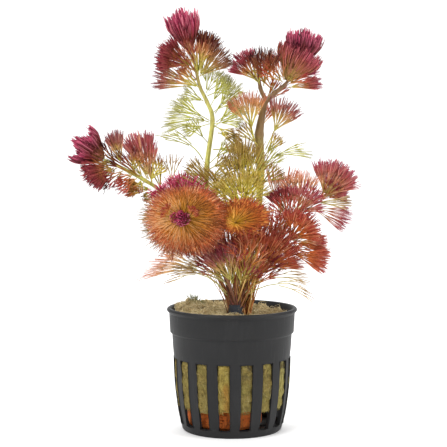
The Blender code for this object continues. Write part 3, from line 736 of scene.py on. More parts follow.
# Each row holds a leaf colour's base, middle, outer and tip, then the pale colour that light threads take as
# a painted highlight.
SHADES = {
    "maroon": [(190, 166, 84), (164, 98, 52), (122, 38, 40), (138, 44, 60), (198, 112, 96)],
    "wine": [(176, 110, 60), (170, 60, 70), (156, 38, 74), (188, 62, 100), (236, 150, 160)],
    "bark": [(178, 150, 62), (158, 88, 38), (96, 34, 26), (64, 20, 24), (196, 128, 84)],
    "rust": [(196, 168, 74), (194, 116, 52), (168, 68, 44), (134, 48, 44), (232, 166, 112)],
    "autumn": [(204, 198, 90), (218, 190, 102), (208, 138, 90), (164, 88, 66), (246, 214, 158)],
    "dusk": [(198, 192, 92), (202, 168, 88), (168, 90, 80), (124, 60, 74), (236, 188, 160)],
    "moss": [(176, 174, 56), (200, 200, 88), (194, 190, 98), (146, 142, 90), (242, 242, 184)],
    "olive": [(214, 200, 58), (238, 226, 92), (222, 198, 88), (160, 124, 64), (250, 246, 160)],
    "mulberry": [(190, 166, 84), (166, 102, 66), (152, 58, 62), (162, 56, 82), (222, 134, 130)],
    "magenta": [(196, 130, 90), (196, 84, 84), (188, 56, 88), (210, 74, 118), (248, 184, 190)],
    "khaki": [(176, 168, 60), (196, 178, 70), (174, 140, 68), (126, 92, 56), (246, 232, 132)],
    "umber": [(184, 174, 84), (176, 140, 68), (136, 80, 50), (88, 48, 46), (214, 160, 118)],
    "straw": [(188, 184, 78), (206, 184, 86), (190, 122, 64), (144, 58, 54), (240, 214, 140)],
    "salmon": [(224, 210, 134), (234, 196, 136), (228, 160, 118), (200, 116, 96), (250, 226, 194)],
    "rose": [(206, 164, 84), (208, 118, 74), (186, 76, 64), (160, 58, 68), (240, 168, 136)],
    "blush": [(212, 194, 104), (204, 142, 92), (182, 84, 82), (150, 54, 82), (240, 182, 160)],
    "ember": [(208, 142, 50), (212, 114, 50), (192, 84, 58), (164, 62, 60), (242, 174, 120)],
    "flame": [(198, 152, 38), (196, 108, 38), (182, 78, 40), (150, 56, 40), (240, 184, 88)],
    "amber": [(198, 150, 48), (206, 130, 46), (196, 98, 54), (158, 66, 52), (240, 194, 138)],
    "pale": [(214, 206, 132), (212, 194, 130), (196, 162, 114), (146, 116, 92), (246, 232, 192)],
    "plum": [(164, 116, 62), (132, 56, 50), (118, 34, 56), (184, 62, 98), (210, 116, 134)],
    "stalk": [(132, 78, 68), (180, 108, 56), (194, 140, 64), (188, 160, 80), (238, 204, 132)],
}


def leaf_threads(name):
    """Colour the threads along their length, each with a tone of its own that sets a painted highlight or
    painted shade, and darker flecks.
    """
    made = Surface("leaf_" + name, {"Roughness": 0.55, "Specular IOR Level": 0.2})
    spread = made.thread_map()
    reach, tone = made.part(spread, 0), made.part(spread, 1)
    flecks = made.noise(made.stretch(spread, (9.0, 70.0, 1.0)), 1.0, 3.0)
    base, middle, outer, tip, painted_highlight = (tint(*shade) for shade in SHADES[name])
    along = reach + (tone - 0.5) * TONE_SHIFT + (flecks - 0.5) * FLECK_SHIFT
    colour = made.ramp(along, [(0.12, base), (0.48, middle), (0.76, outer), (0.98, tip)])
    # Light threads are mixed towards the row's pale colour as a painted highlight, and dark threads towards a
    # dim outer colour as painted shade.
    light = made.mix(made.between(tone, 0.55, 1.0, 0.0, 0.6), colour, painted_highlight)
    shaded = tuple(IN_SHADE * part for part in outer)
    dark = made.mix(made.between(tone, 0.0, 0.45, 0.78, 0.0), light, shaded)
    return made.finish(base_color=dark)


def fork_threads(picker, plan, stalk, forks=FORKS):
    """Fork one stalk into threads, each part of the plan into that many, and return them as rows: how far
    along, to the side and off the leaf's face they start and end, the fork's level, and if it is the last."""
    rows = []

    def grow(start, side, lift, low, high, level):
        share = (high - low) / plan[level]
        last = level == len(plan) - 1
        for k in range(plan[level]):
            near, far = low + share * k, low + share * (k + 1)
            goal = (near + far) / 2 + picker.uniform(-FORK_STRAY, FORK_STRAY) * share
            fork = 0 if last else forks[level] + picker.uniform(-FORK_JITTER, FORK_JITTER)
            end = picker.uniform(*THREAD_ENDS) if last else stalk + (1 - stalk) * fork
            off = lift + picker.uniform(-LIFT_STRAY, LIFT_STRAY) * LIFT_CALMS ** level
            rows.append((start, goal if level == 0 else side, lift, end, goal, off, level, last))
            if not last:
                grow(end, goal, off, near, far, level + 1)

    rows.append((0.0, 0.0, 0.0, stalk, 0.0, 0.0, -1, False))
    grow(stalk, 0.0, 0.0, -FAN_EDGE, FAN_EDGE, 0)
    return np.array(rows)


def thread_runs(rows, picker):
    """Turn the forks into places along each thread, with the radius there, and a tone for each thread."""
    s = np.linspace(0, 1, THREAD_STEPS)
    reach = rows[:, 0:1] + (rows[:, 3:4] - rows[:, 0:1]) * s
    side = rows[:, 1:2] + (rows[:, 4:5] - rows[:, 1:2]) * np.sin(s * math.pi / 2)
    lift = rows[:, 2:3] + (rows[:, 5:6] - rows[:, 2:3]) * s
    radius = THREAD_RADIUS * THINNER ** (rows[:, 6:7] + s) * (1 - TAPER * rows[:, 7:8] * s ** 3)
    tone = np.array([picker.uniform(0, 1) for _ in rows])
    return reach, side, lift, radius, tone


def leaf_axes(leaf):
    """Return the leaf's stem end, its directions along, across and out of its face, its length and sag."""
    base, tip, sag = at(*leaf["base"]), at(*leaf["tip"]), np.array(leaf["sag"], dtype=float)
    along = tip - sag - base
    length = np.linalg.norm(along)
    along = along / length
    across = np.cross(along, [0.0, -1.0, 0.0])
    across /= np.linalg.norm(across)
    return base, along, across, np.cross(across, along), length, sag


def on_fan(leaf, reach, side, lift):
    """Return the places on a fan leaf, for how far along, how far to the side and how far off its face."""
    base, along, across, face, length, sag = leaf_axes(leaf)
    stalk = leaf["stalk"]
    start = STEM_GAP / length
    t = start + (1 - start) * reach
    edge = np.interp(side, np.linspace(-1, 1, len(leaf["edge"])), leaf["edge"])
    blade = np.maximum(0, (t - stalk) / (1 - stalk)) * edge
    angle = math.radians(leaf["spread"]) * side
    fan = (1 - stalk) * length * blade
    run = np.minimum(t, stalk) * length + fan * np.cos(angle)
    off = FAN_HOLLOW * fan * blade * side ** 2 + lift * (LIFT_AT_STALK + LIFT_AT_TIP * blade)
    places = base + run[..., None] * along + (fan * np.sin(angle))[..., None] * across + off[..., None] * face
    travelled = np.minimum(t, stalk) + (1 - stalk) * blade
    pull = np.dot(across, sag) / (np.linalg.norm(sag) + 1e-9)
    return places + sag * (travelled ** 2 * (1 + SAG_SPREAD * side * pull))[..., None]


def leaf_parts(leaf, picker):
    """Return the threads of a leaf, layer by layer from back to front. A long bare stalk stays green for
    longer, so the colours start later on it."""
    parts = []
    late = COLOUR_DELAY * max(0, leaf["stalk"] - STALK_LENGTH)
    for layer in range(leaf["layers"]):
        rows = fork_threads(picker, leaf["plan"], leaf["stalk"] * (FRONT_STALK if layer else 1.0))
        reach, side, lift, radius, tone = thread_runs(rows, picker)
        height = (layer + 0.5) / leaf["layers"]
        lift = lift + (height - 0.5) * LAYER_DEPTH * min(1.5, leaf["layers"] / 2)
        # Back layers get a lower tone and front layers a higher one, which paints shade into the depth of the
        # leaf.
        tone = (1 - LAYER_SHARE) * tone + LAYER_SHARE * height
        tone = PAINTED_BACK_SHADE + (1 - PAINTED_BACK_SHADE) * tone - PAINTED_BACK_SHADE * (1 - height)
        ripe = np.maximum(0, reach - late) / (1 - late)
        parts.append((on_fan(leaf, reach, side, lift), radius * leaf["fine"], ripe, tone))
    return parts


def grow_piece(name, parts, shade, replaces, slot):
    """Join the threads of one or more leaves in one piece."""
    joined = [np.concatenate(column) for column in zip(*parts)]
    threads_mesh(name, *joined, shades[shade], replaces, slot)


def fan(base, tip, spread, shade, slot, stalk=STALK_LENGTH, fine=1.0, sag=(0, 0, 0), edge=(1.0,),
        plan=PLAIN, layers=1):
    """Describe a fan leaf by its two ends, half its opening in degrees, its colours and its forks."""
    return {"base": base, "tip": tip, "spread": spread, "shade": shade, "slot": slot, "stalk": stalk,
            "fine": fine, "sag": sag, "edge": edge, "plan": plan, "layers": layers}


LEAVES = {
    # The shoot at the left, from its tip down
    "left": [
        fan((-15.2, 144.6, 0), (-29.2, 151.4, -5), 30, "maroon", "leaf_red", layers=3, plan=FULL),
        fan((-13.8, 143.6, 0), (-8.2, 158.4, -3), 24, "bark", "leaf_red", layers=2),
        fan((-12.8, 140.6, 0), (-2.2, 151.6, -8), 26, "umber", "leaf_red", plan=(5, 3, 3), layers=2),
        fan((-12.8, 137, 0), (-31.2, 141.4, 2), 20, "dusk", "leaf_orange"),
        fan((-10.6, 133.6, -0.4), (-6, 144.4, 5), 34, "moss", "leaf_green", fine=0.8),
        fan((-7.4, 125.4, -0.4), (2.2, 139.6, -3), 30, "moss", "leaf_green", stalk=0.3, fine=0.8),
        fan((-8, 122.6, 0), (-27, 126, -5), 24, "moss", "leaf_green", sag=(0, 0, -3), fine=0.8),
        fan((-11.2, 107, -1), (-28, 118.6, 3), 14, "moss", "leaf_pale", stalk=0.45, sag=(-11, 0, -5),
            plan=THIN),
        fan((-6.8, 118.6, 0), (6.4, 107.8, -4), 20, "khaki", "leaf_pale", sag=(-1, 0, -12)),
    ],
    # The shoot at the right
    "right": [
        fan((10.4, 138.4, 0), (1.8, 149.6, -5), 32, "mulberry", "leaf_red", layers=2),
        fan((12.6, 136.2, -0.6), (12.8, 152, -9), 26, "bark", "leaf_red", layers=2),
        fan((21.2, 136.4, -0.5), (35.4, 138.8, -3), 14, "blush", "leaf_pink"),
        fan((9.2, 114.6, -1.8), (4.6, 134.6, -7), 36, "autumn", "leaf_orange", stalk=0.32, layers=2),
        fan((12.8, 111, 0), (22.6, 131.6, -4), 34, "dusk", "leaf_pink", stalk=0.42, layers=2),
        fan((12.6, 106.2, 0), (31, 111.6, 1), 12, "moss", "leaf_green", sag=(4, 0, -7), stalk=0.3,
            plan=THIN),
    ],
    # The short shoot in the middle
    "middle": [
        fan((4.6, 94, -5.4), (5.2, 117.6, -12), 22, "khaki", "leaf_green"),
        fan((4, 88, -7), (2.8, 103.4, -12), 44, "olive", "leaf_green", layers=2),
        fan((3.8, 82, -7), (-18.2, 104, -8), 14, "khaki", "leaf_pale", sag=(-4, 0, -4)),
    ],
    # The long shoot that leans out at the left
    "side": [
        fan((-46, 105.2, 0), (-57.6, 100.4, -6), 30, "maroon", "leaf_red", layers=2, plan=(7, 4, 4),
            fine=0.85),
        fan((-44, 105.2, 0), (-47.2, 119, -5), 18, "dusk", "leaf_orange", layers=2),
        fan((-33, 99.2, 4), (-38.2, 118.8, 0), 23, "blush", "leaf_pink", layers=2),
        fan((-31, 96.2, 5.5), (-43.4, 97, 0), 20, "straw", "leaf_green"),
        fan((-24, 91, 8), (-24, 110.4, 4), 26, "pale", "leaf_pale", stalk=0.45, plan=THIN),
        fan((-18.5, 84.5, 8), (-20.8, 103, -1), 30, "magenta", "leaf_pink", stalk=0.4, layers=2),
    ],
    # The lower shoot at the right
    "lower": [
        fan((23, 84.6, -6), (18.7, 97.6, -5), 34, "maroon", "leaf_red", layers=2),
        fan((24.6, 85.4, -6.5), (32.4, 96.4, -13), 42, "blush", "leaf_pink", layers=2),
        fan((18.8, 78, -7), (20.6, 105, 0), 24, "salmon", "leaf_pale", stalk=0.3),
        fan((35.6, 92.4, -3.4), (46.8, 105, -4), 62, "blush", "leaf_red",
            edge=(0.95, 0.92, 1, 1, 1, 0.62, 0.58), plan=(9, 4, 3), layers=3, fine=1.2),
        fan((30, 89.6, -4), (47.2, 83.4, -7), 20, "blush", "leaf_pink", fine=0.75),
        fan((22.4, 75.4, -7), (31.4, 86, -14), 46, "ember", "leaf_orange", layers=3, fine=1.15),
        fan((20, 74.6, -8), (37.6, 74.4, -6), 20, "ember", "leaf_orange", stalk=0.35, layers=2,
            plan=FULL, fine=0.85),
        fan((16.6, 72, -8), (38.6, 67.2, -9), 24, "ember", "leaf_red", stalk=0.4, layers=2, plan=FULL,
            fine=0.85),
        fan((9.8, 62.4, -11.4), (24, 76.6, -18), 38, "rust", "leaf_red", layers=3),
        fan((19, 76, -8), (1, 75, -21), 15, "ember", "leaf_red", sag=(0, 0, -5), layers=2),
    ],
    # Round the foot of the bunch
    "foot": [
        fan((3.4, 57, -13.5), (5, 71.6, -17.5), 28, "straw", "leaf_orange", layers=2),
        fan((0.6, 57.4, -15.5), (-7.6, 75.4, -22.5), 24, "dusk", "leaf_pink", layers=2),
        fan((-1.2, 54, -13), (-32.6, 67, -12), 18, "salmon", "leaf_pale", stalk=0.5, sag=(-7, 0, -15),
            layers=2, fine=0.65),
        fan((-1.4, 52.6, -13), (-25.6, 61.8, -16), 8, "pale", "leaf_pale", stalk=0.6, sag=(-8, 0, -18),
            plan=THIN, fine=0.95),
        fan((4.4, 54, -12), (30.4, 62.2, -12), 12, "pale", "leaf_pale", stalk=0.45, sag=(4, 0, -14),
            plan=THIN, fine=0.95),
        fan((4.6, 52.8, -13), (32.8, 54.6, -17), 8, "pale", "leaf_pale", stalk=0.5, sag=(2, 0, -18),
            plan=THIN, fine=0.95),
    ],
    # At the back
    "back": [
        fan((-7, 122.4, 0.6), (4, 130.4, 12), 24, "moss", "leaf_orange", stalk=0.3, fine=0.8),
        fan((11, 118, 2), (14, 130, 18), 24, "rust", "leaf_orange", stalk=0.3),
        fan((5, 88, -4), (2, 98, 16), 30, "autumn", "leaf_orange", stalk=0.3),
    ],
}

shades = {name: leaf_threads(name) for name in SHADES}
for shoot, leaves in LEAVES.items():
    for number, leaf in enumerate(leaves, 1):
        name = f"leaf_{shoot}_{number}"
        parts = leaf_parts(leaf, random.Random(name))
        grow_piece("threads_" + name, parts, leaf["shade"], [name], leaf["slot"])

# Small leaves and bare stalks
# Between the big leaves each joint of a stem carries thinner ones, and the lowest leaves have only their
# stalks left: a brown sheaf round the feet of the stems. A row gives a leaf's two ends and half its
# opening in degrees, then its stalk, its fineness and its sag where they differ from the rest.
SMALL_LEAVES = {
    ("left", "leaf_green"): {
        "autumn": [(-13.4, 140, 0, -7, 150, 3, 34), (-13.2, 141, -0.6, -15.2, 155, -10, 30)],
        "khaki": [
            (-9.5, 100, -1, -18, 107, -5, 24), (-8, 122, 0, 1, 117, -5, 22, 0.3),
            (-9.6, 104, 0, -1, 108.6, -6, 26, 0.3), (-9.5, 100, -1, 3, 108.4, -5, 20),
            (-8.6, 112, -0.6, 4.4, 112.6, -5, 18, 0.3),
        ],
        "maroon": [(-13.6, 142, -0.6, -21, 151.6, -10, 30)],
        "moss": [
            (-8, 122.2, 0, 4.4, 123.8, -6, 22, 0.3, 0.8), (-10.4, 131, 0, -20, 135, 3, 24, 0.12, 0.8),
            (-9.6, 106, -1, 0, 115, -6, 24, 0.35, 0.8), (-10.8, 133, 0, 0.4, 137.4, -4, 26, 0.3, 0.8),
            (-9.4, 128, 0, -2, 141, -5, 22, 0.3, 0.8), (-7.9, 122.6, 0, -20, 119, -4, 24, 0.35, 0.8),
            (-8, 123, 0, -22, 131, -3, 22, 0.3, 0.8), (-8.2, 120, 0, 3.4, 130.6, -5, 24, 0.3, 0.8),
            (-8.6, 126, 0, 0.6, 133, -6, 24, 0.3, 0.8), (-9, 114, 0, -17.6, 124, -4, 24, 0.3, 0.8),
        ],
        "olive": [(-9, 92, -2, -1.6, 102, -8, 28)],
        "pale": [(-9.2, 96, -1.6, 2.4, 100.6, -6, 24)],
        "rust": [(-12.6, 138, 0, -20, 147, 4, 30)],
        "straw": [(-13.4, 142, -0.6, -11.6, 155, -8, 26), (-12.2, 136, -0.6, -22, 143, -4, 24)],
    },
    ("right", "leaf_green"): {
        "khaki": [
            (11.2, 98, -1, 20, 105, -4, 28), (11.6, 108, -1, 19.6, 118, -4, 22, 0.3),
            (11.6, 112, -1.6, 3, 122, -6, 26, 0.3),
            (11.6, 106, -1.6, 1.6, 108, -6, 22, 0.12, 1, (0, 0, -4)),
        ],
        "moss": [(11.4, 104, -1, 19.2, 112, -5, 26, 0.12, 0.8)],
        "olive": [(11, 100, -1, 0, 111, 1, 26)],
        "rose": [(21, 138.6, -0.5, 16.4, 151.4, -6, 34), (21.6, 137.6, -0.5, 31, 142.4, -5, 22)],
        "rust": [
            (12.8, 130, 0, 20, 139, 3, 26), (17, 134, 0, 11, 146, 4, 30),
            (20.6, 138, -0.5, 11.6, 147.6, -8, 28),
        ],
        "straw": [(11.2, 137, -0.5, 7.4, 148, -8, 34)],
        "wine": [(22.6, 139.8, 0, 33.6, 146.6, -4, 24)],
    },
    ("middle", "leaf_green"): {
        "khaki": [(5.4, 95, -5, 12, 111, -9, 22), (4.8, 92, -6.5, -2.4, 110, -10, 20)],
        "olive": [
            (4.2, 90, -7, -6.8, 102, -9, 26), (4.6, 90, -7, 13.2, 99.8, -9, 30),
            (4.4, 88, -7, -11, 97, -10, 22, 0.12, 1, (0, 0, -3)), (5, 92, -6.5, 9.6, 106, -12, 26),
            (4.2, 86, -7, 12, 92.6, -13, 30), (4, 86, -7, -4.6, 93.6, -13, 30),
        ],
    },
    ("side", "leaf_orange"): {
        "bark": [
            (-36, 100.6, 3, -49, 110.4, -3, 16), (-45, 105.4, 0, -55.6, 98, 0, 30),
            (-46, 105.8, 0, -52, 115, -3, 24),
        ],
        "blush": [(-32, 98, 5, -33.4, 116, 0, 15)],
        "dusk": [(-35, 100, 3.6, -42.4, 112, 0, 20)],
        "khaki": [(-30, 96, 6, -35.4, 92.4, 3, 20), (-20, 84, -21, -37.4, 83.6, -26, 20, 0.12, 0.7)],
        "magenta": [
            (-18.5, 86, 2, -17.6, 100.4, -13, 36), (-19, 86, 0, -24, 99.6, -13, 30),
            (-22, 88, -4, -31.8, 96.2, -14, 26), (-24, 90, -6, -31.4, 97, -15, 24),
            (-18, 86, 2, -13.6, 99.8, -13, 32), (-18.5, 86, 3, -20.6, 102.2, -12, 34),
        ],
        "maroon": [
            (-42.6, 104.2, 0, -51.6, 98.4, -4, 28), (-47, 106, 0, -60.6, 103.8, -5, 30, 0.12, 1.2),
            (-49, 107, 0, -59.6, 100.6, -3, 26, 0.12, 1.2),
            (-47.5, 106.6, 0, -60.2, 107.2, -3, 20, 0.12, 1.2),
        ],
        "olive": [(-33, 99, 4, -27.6, 107, 2, 26)],
        "pale": [
            (-20, 84.6, -21, -37, 89.6, -26, 22, 0.12, 0.7), (-20, 83, -21, -36, 76.6, -26, 22, 0.12, 0.7),
        ],
        "rose": [(-37, 101, 2, -46.6, 96.4, -3, 24)],
        "rust": [(-39, 102.4, 2, -45.6, 98.6, -3, 26)],
        "salmon": [(-31.6, 97.6, 5, -34.4, 113, 2, 20), (-33.4, 99.4, 4, -41, 118, 1, 14)],
        "straw": [
            (-28, 95, 8, -32, 110, 5, 20), (-34, 99.4, 4, -42, 95.4, 4, 26),
            (-40, 102.4, 2, -37, 110.6, 0, 28), (-36, 100.6, 3, -38, 95.4, 0, 28),
            (-19, 82, -21, -29.6, 70, -26, 24, 0.12, 0.8),
        ],
    },
    ("lower", "leaf_pink"): {
        "blush": [(35.6, 92.4, -4.4, 41.4, 107.8, -5, 30), (36, 92.6, -4.4, 49, 103, -6, 26)],
        "ember": [
            (20, 79, -7.5, 16, 86, -12, 40), (16, 71, -9, 27.2, 77, -13, 34),
            (12.6, 67, -9, 18.4, 81, -12, 30), (10.6, 64, -10, 12.6, 79, -15, 30),
            (22.4, 75.8, -7.4, 28.6, 88, -12, 40), (22, 76, -7.4, 34, 82.6, -12, 30),
        ],
        "maroon": [(12, 66, -10, 21.2, 69, -15, 34), (34, 91.6, -3.6, 43.6, 98.6, -6, 40)],
        "pale": [(33, 91, -3.6, 47.6, 91, -6, 14)],
        "rose": [
            (27, 88, -5, 35, 97.4, -8, 30), (16, 72, -8.6, 19.6, 88.6, -10, 28),
            (22, 82, -7, 29, 92, -12, 34), (22.6, 83.6, -7, 17, 93.6, -11, 34),
            (19, 74.4, -8, 36.4, 71, -6, 24, 0.3),
        ],
        "rust": [(11, 66, -10, 15.6, 85.6, -12, 26), (14.6, 70, -9, 21.6, 84, -12, 28)],
        "salmon": [
            (28, 89, -5, 22, 102, -3, 26), (26, 87, -6, 31, 103, -6, 20),
            (19, 75, -8, 35, 78, -10, 22, 0.3),
        ],
    },
    ("foot", "leaf_orange"): {
        "amber": [(4.4, 61, -14, 7.6, 76.6, -25, 34)],
        "autumn": [
            (3.4, 63, -12, 7.6, 78.6, -17, 30), (1.6, 62, -13, -1.6, 82, -18, 20),
            (5, 58, -12, 9.4, 72, -19, 26),
        ],
        "dusk": [(-1.5, 60, -12, -10.8, 69, -20, 30), (1, 58, -13, -4, 73, -24, 26)],
        "ember": [(8, 61, -11, 11.4, 80.4, -15, 20)],
        "maroon": [
            (3, 58, -13, 9.2, 67, -20, 34), (-2, 62, -16, -14, 72, -22, 24),
            (6.6, 58, -12, 19, 72, -16, 20),
        ],
        "mulberry": [(1, 61, -14, -3.2, 75, -24, 18)],
        "olive": [(3.6, 60, -12, 3.4, 73, -20, 30)],
        "pale": [(-1, 57, -12, -20, 68, -14, 16, 0.12, 1, (-4, 0, -5))],
        "rust": [
            (5.6, 56, -12, 17.2, 66.2, -17, 20), (2.4, 61, -13, -1, 77.6, -19, 26),
            (1, 60, -13, -5.4, 80, -19, 24), (6, 58, -12, 15.8, 78, -15, 22),
            (7, 60, -11, 14.6, 73, -17, 30), (9.4, 66, -12, 3, 80.6, -29, 30),
            (-24.2, 85.4, -33.2, -27.4, 90.2, -34.2, 34), (-17.4, 85.2, -33.2, -14.8, 89.6, -34.2, 38),
            (-23.8, 84.6, -33.2, -28, 88, -34.2, 34), (-17.6, 84.6, -33.2, -14.2, 87.8, -34.2, 34),
        ],
    },
}
STALK_STEPS = 7
STALK_SPREAD = 2.6
STALK_BOW = [0.36, 0.3, 0.42]
STALK_RADIUS = (0.16, 0.48)
STALK_FOOT = FOOT_SPAN[0] + 3
STALK_DEPTHS = (-7, 6)
STALK_REACH = 0.7
STALK_GROUPS = {
    "brown": (50, BUNCH, (-0.9, 0.9), (60, 80), 0.0),
    "tan": (40, (5.2, -9.6), (-0.4, 0.7), (56, 72), 0.3),
}


def bare_stalks(picker, count, middle, leans, tops):
    """Bow bare stalks out of the band or the wool beside it, up among the stems."""
    points, radii = [], []
    s = np.linspace(0, 1, STALK_STEPS)[:, None]
    for _ in range(count):
        turn, out = picker.uniform(0, 2 * math.pi), STALK_SPREAD * math.sqrt(picker.uniform(0, 1))
        low = np.array([middle[0] + out * math.cos(turn), middle[1] + out * math.sin(turn), STALK_FOOT])
        top = picker.uniform(*tops)
        lean = picker.uniform(*leans)
        high = at(middle[0] + lean * (top - FOOT_SPAN[1]), top, middle[1] + picker.uniform(*STALK_DEPTHS))
        bend = low + (high - low) * STALK_BOW
        points.append((1 - s) ** 2 * low + 2 * s * (1 - s) * bend + s ** 2 * high)
        radii.append(picker.uniform(*STALK_RADIUS) * (1 - 0.5 * s[:, 0]))
    return np.array(points), np.array(radii)


for (group, slot), tones in SMALL_LEAVES.items():
    for shade, rows in tones.items():
        picker = random.Random(group + shade)
        parts = []
        for row in rows:
            leaf = fan(row[:3], row[3:6], row[6], shade, slot, *row[7:], plan=THIN, layers=2)
            parts += leaf_parts(leaf, picker)
        grow_piece(f"small_leaves_{group}_{shade}", parts, shade, [], slot)

for group, (count, middle, leans, tops, first) in STALK_GROUPS.items():
    picker = random.Random(group)
    points, radii = bare_stalks(picker, count, middle, leans, tops)
    level = first + np.linspace(0, STALK_REACH, STALK_STEPS) * np.ones((count, 1))
    tone = np.array([picker.uniform(0.16, 1.0) for _ in points])
    threads_mesh("bare_stalks_" + group, points, radii, level, tone, shades["stalk"], [], "stem_green")

# Shoot tips
# At the end of each shoot the youngest leaves stand in a tight brush, red to magenta. Two ends face the
# front and have opened to a bowl: a wide orange whorl round a magenta bud, and a smaller one beside it.
# A row gives a tip's two ends, its two half widths, its tufts, its heart beside the axis and its colours.
TIPS = {
    "tip_left": ((-16.8, 150.8, 0), (-20.4, 165.8, -1), 7.0, 7.0, 0.04, None, "wine", "leaf_pink"),
    "tip_right": ((27.2, 145.2, 0), (29.0, 158.0, -1), 7.8, 7.4, 0.03, None, "plum", "leaf_pink"),
    "whorl_right": ((21.8, 139.4, 0), (28.4, 152.0, -1), 9.8, 9.8, 0.05, None, "mulberry", "leaf_red"),
    "tip_side": ((-51.2, 108.2, 0), (-61.0, 114.8, -1), 8.0, 7.0, 0.16, None, "plum", "leaf_pink"),
    "whorl_front_left": ((-18.6, 84.0, -21), (-17.8, 83.6, -33), 15.4, 13.4, 0.0, (-2.2, 1.2), "amber",
                         "leaf_orange"),
    "tip_front_left": ((-18.6, 84.2, -25), (-21.0, 84.6, -36), 3.7, 3.0, 0.1, None, "magenta", "leaf_pink"),
    "whorl_front": ((3.2, 84.6, -19.5), (4.0, 85.4, -27), 10.8, 7.2, 0.0, (-3.0, -2.6), "flame",
                    "leaf_orange"),
}
WHORL_PLAN = (5, 3, 3)
WHORL_STALK = 0.05
WHORL_FORKS = (0.12, 0.34)
BRUSH = [(0.0, 0.0, 0.1), (0.3, 0.28, 0.5), (0.65, 0.64, 0.9), (1.0, 1.0, 1.02), (1.3, 1.28, 1.0)]
BRUSH_LEAVES = 30
BRUSH_SHARE = 0.5
GOLDEN_ANGLE = 2.4
BUD_SHARE = 4.0
BUD_LEAST = 200
BUD_TOP = 1.12
BUD_ROUND = 0.26
SHELL = [(0.0, 0.0, 0.1), (0.33, 0.6, 0.45), (0.67, 1.0, 0.78), (1.0, 0.8, 1.0), (1.2, 0.7, 1.1)]
SHELL_LEAST = 6
DOME_SHARE = 17.0
DOME_LEAST = 320
DOME_EDGE = 0.6
DOME_FALL = 0.26
DOME_PATH = [(0.0, 0.0, 0.0), (2.0, 0.0, 2.0)]
HEART_REACH = 0.32
HEART_DEPTH = 0.06
RAGGED = 1.5
CUP_LIFT = 0.08
CORE_REACH = 0.76
SHELL_OVERLAP = 0.75


def on_cup(cup, profile, width, reach, turn, lift, level=0.0):
    """Return the places on a cup of young leaves, whose profile gives rise and swell for each reach. The
    leaves stand in three tufts side by side, or run together at a heart beside the cup's axis."""
    base, tip, wide, high, tufts, heart = cup
    reach = reach * (1 + tufts * np.cos(2 * math.pi * width * np.cos(turn)))
    base, tip = at(*base), at(*tip)
    axis = tip - base
    along = axis / np.linalg.norm(axis)
    helper = [0.0, -1.0, 0.0] if abs(along[1]) < 0.7 else [0.0, 0.0, 1.0]
    across = np.cross(along, helper)
    across /= np.linalg.norm(across)
    up = np.cross(across, along)
    steps, rises, swells = zip(*profile)
    rise = np.interp(reach, steps, rises) + level
    swell = np.interp(reach, steps, swells) * width * (1 + lift * CUP_LIFT)
    spoke = (np.cos(turn) * wide)[..., None] * across + (np.sin(turn) * high)[..., None] * up
    sway = (rise * (1 - swell))[..., None] * [heart[0], 0.0, heart[1]]
    return base + rise[..., None] * axis + swell[..., None] * spoke + sway


def cup_leaf(picker, cup, profile, width, turn, half_turn, stop):
    """Fork one leaf that stands on the cup, a share of the cup's width from its axis."""
    rows = fork_threads(picker, WHORL_PLAN, WHORL_STALK, WHORL_FORKS)
    rows[:, 3] += rows[:, 7] * np.array([picker.uniform(-0.2, 0.1) for _ in rows])
    reach, side, lift, radius, tone = thread_runs(rows, picker)
    wider, longer = width * picker.uniform(0.86, 1.06), stop * picker.uniform(0.88, 1.08)
    places = on_cup(cup, profile, wider, reach * longer, turn + half_turn * side, lift)
    return places, radius, reach * (CORE_REACH + (1 - CORE_REACH) * width), tone


def thread_draws(picker, count):
    """Return a function that draws a number between two limits for each thread, as a column."""
    dice = np.random.default_rng(picker.randrange(1000))
    return lambda low, high: dice.uniform(low, high, count)[:, None]


def bud_threads(picker, cup):
    """Stand single threads among the leaves of a bud, from halfway up to their ends or a little past."""
    s = np.linspace(0, 1, THREAD_STEPS)
    count = max(BUD_LEAST, round(BUD_SHARE * cup[2] * cup[3]))
    draw = thread_draws(picker, count)
    width, turn, start = np.sqrt(draw(0, 1.1)), draw(0, 2 * math.pi), draw(0.3, 0.6)
    stop = (BUD_TOP - BUD_ROUND * width ** 2) * draw(0.84, 1.06)
    out = start + (stop - start) * s
    places = on_cup(cup, BRUSH, width * np.ones(THREAD_STEPS), out, turn * np.ones(THREAD_STEPS), 0 * out)
    radius = THREAD_RADIUS * (0.95 - 0.4 * s ** 2) * np.ones((count, 1))
    # Threads near the bud's middle get a lower tone, which paints shade into its middle.
    tone = np.clip(draw(-0.1, 1) * (0.7 + 0.4 * width), 0, 1)
    return [(places, radius, np.clip(out - 0.06, 0, 1), tone[:, 0])]


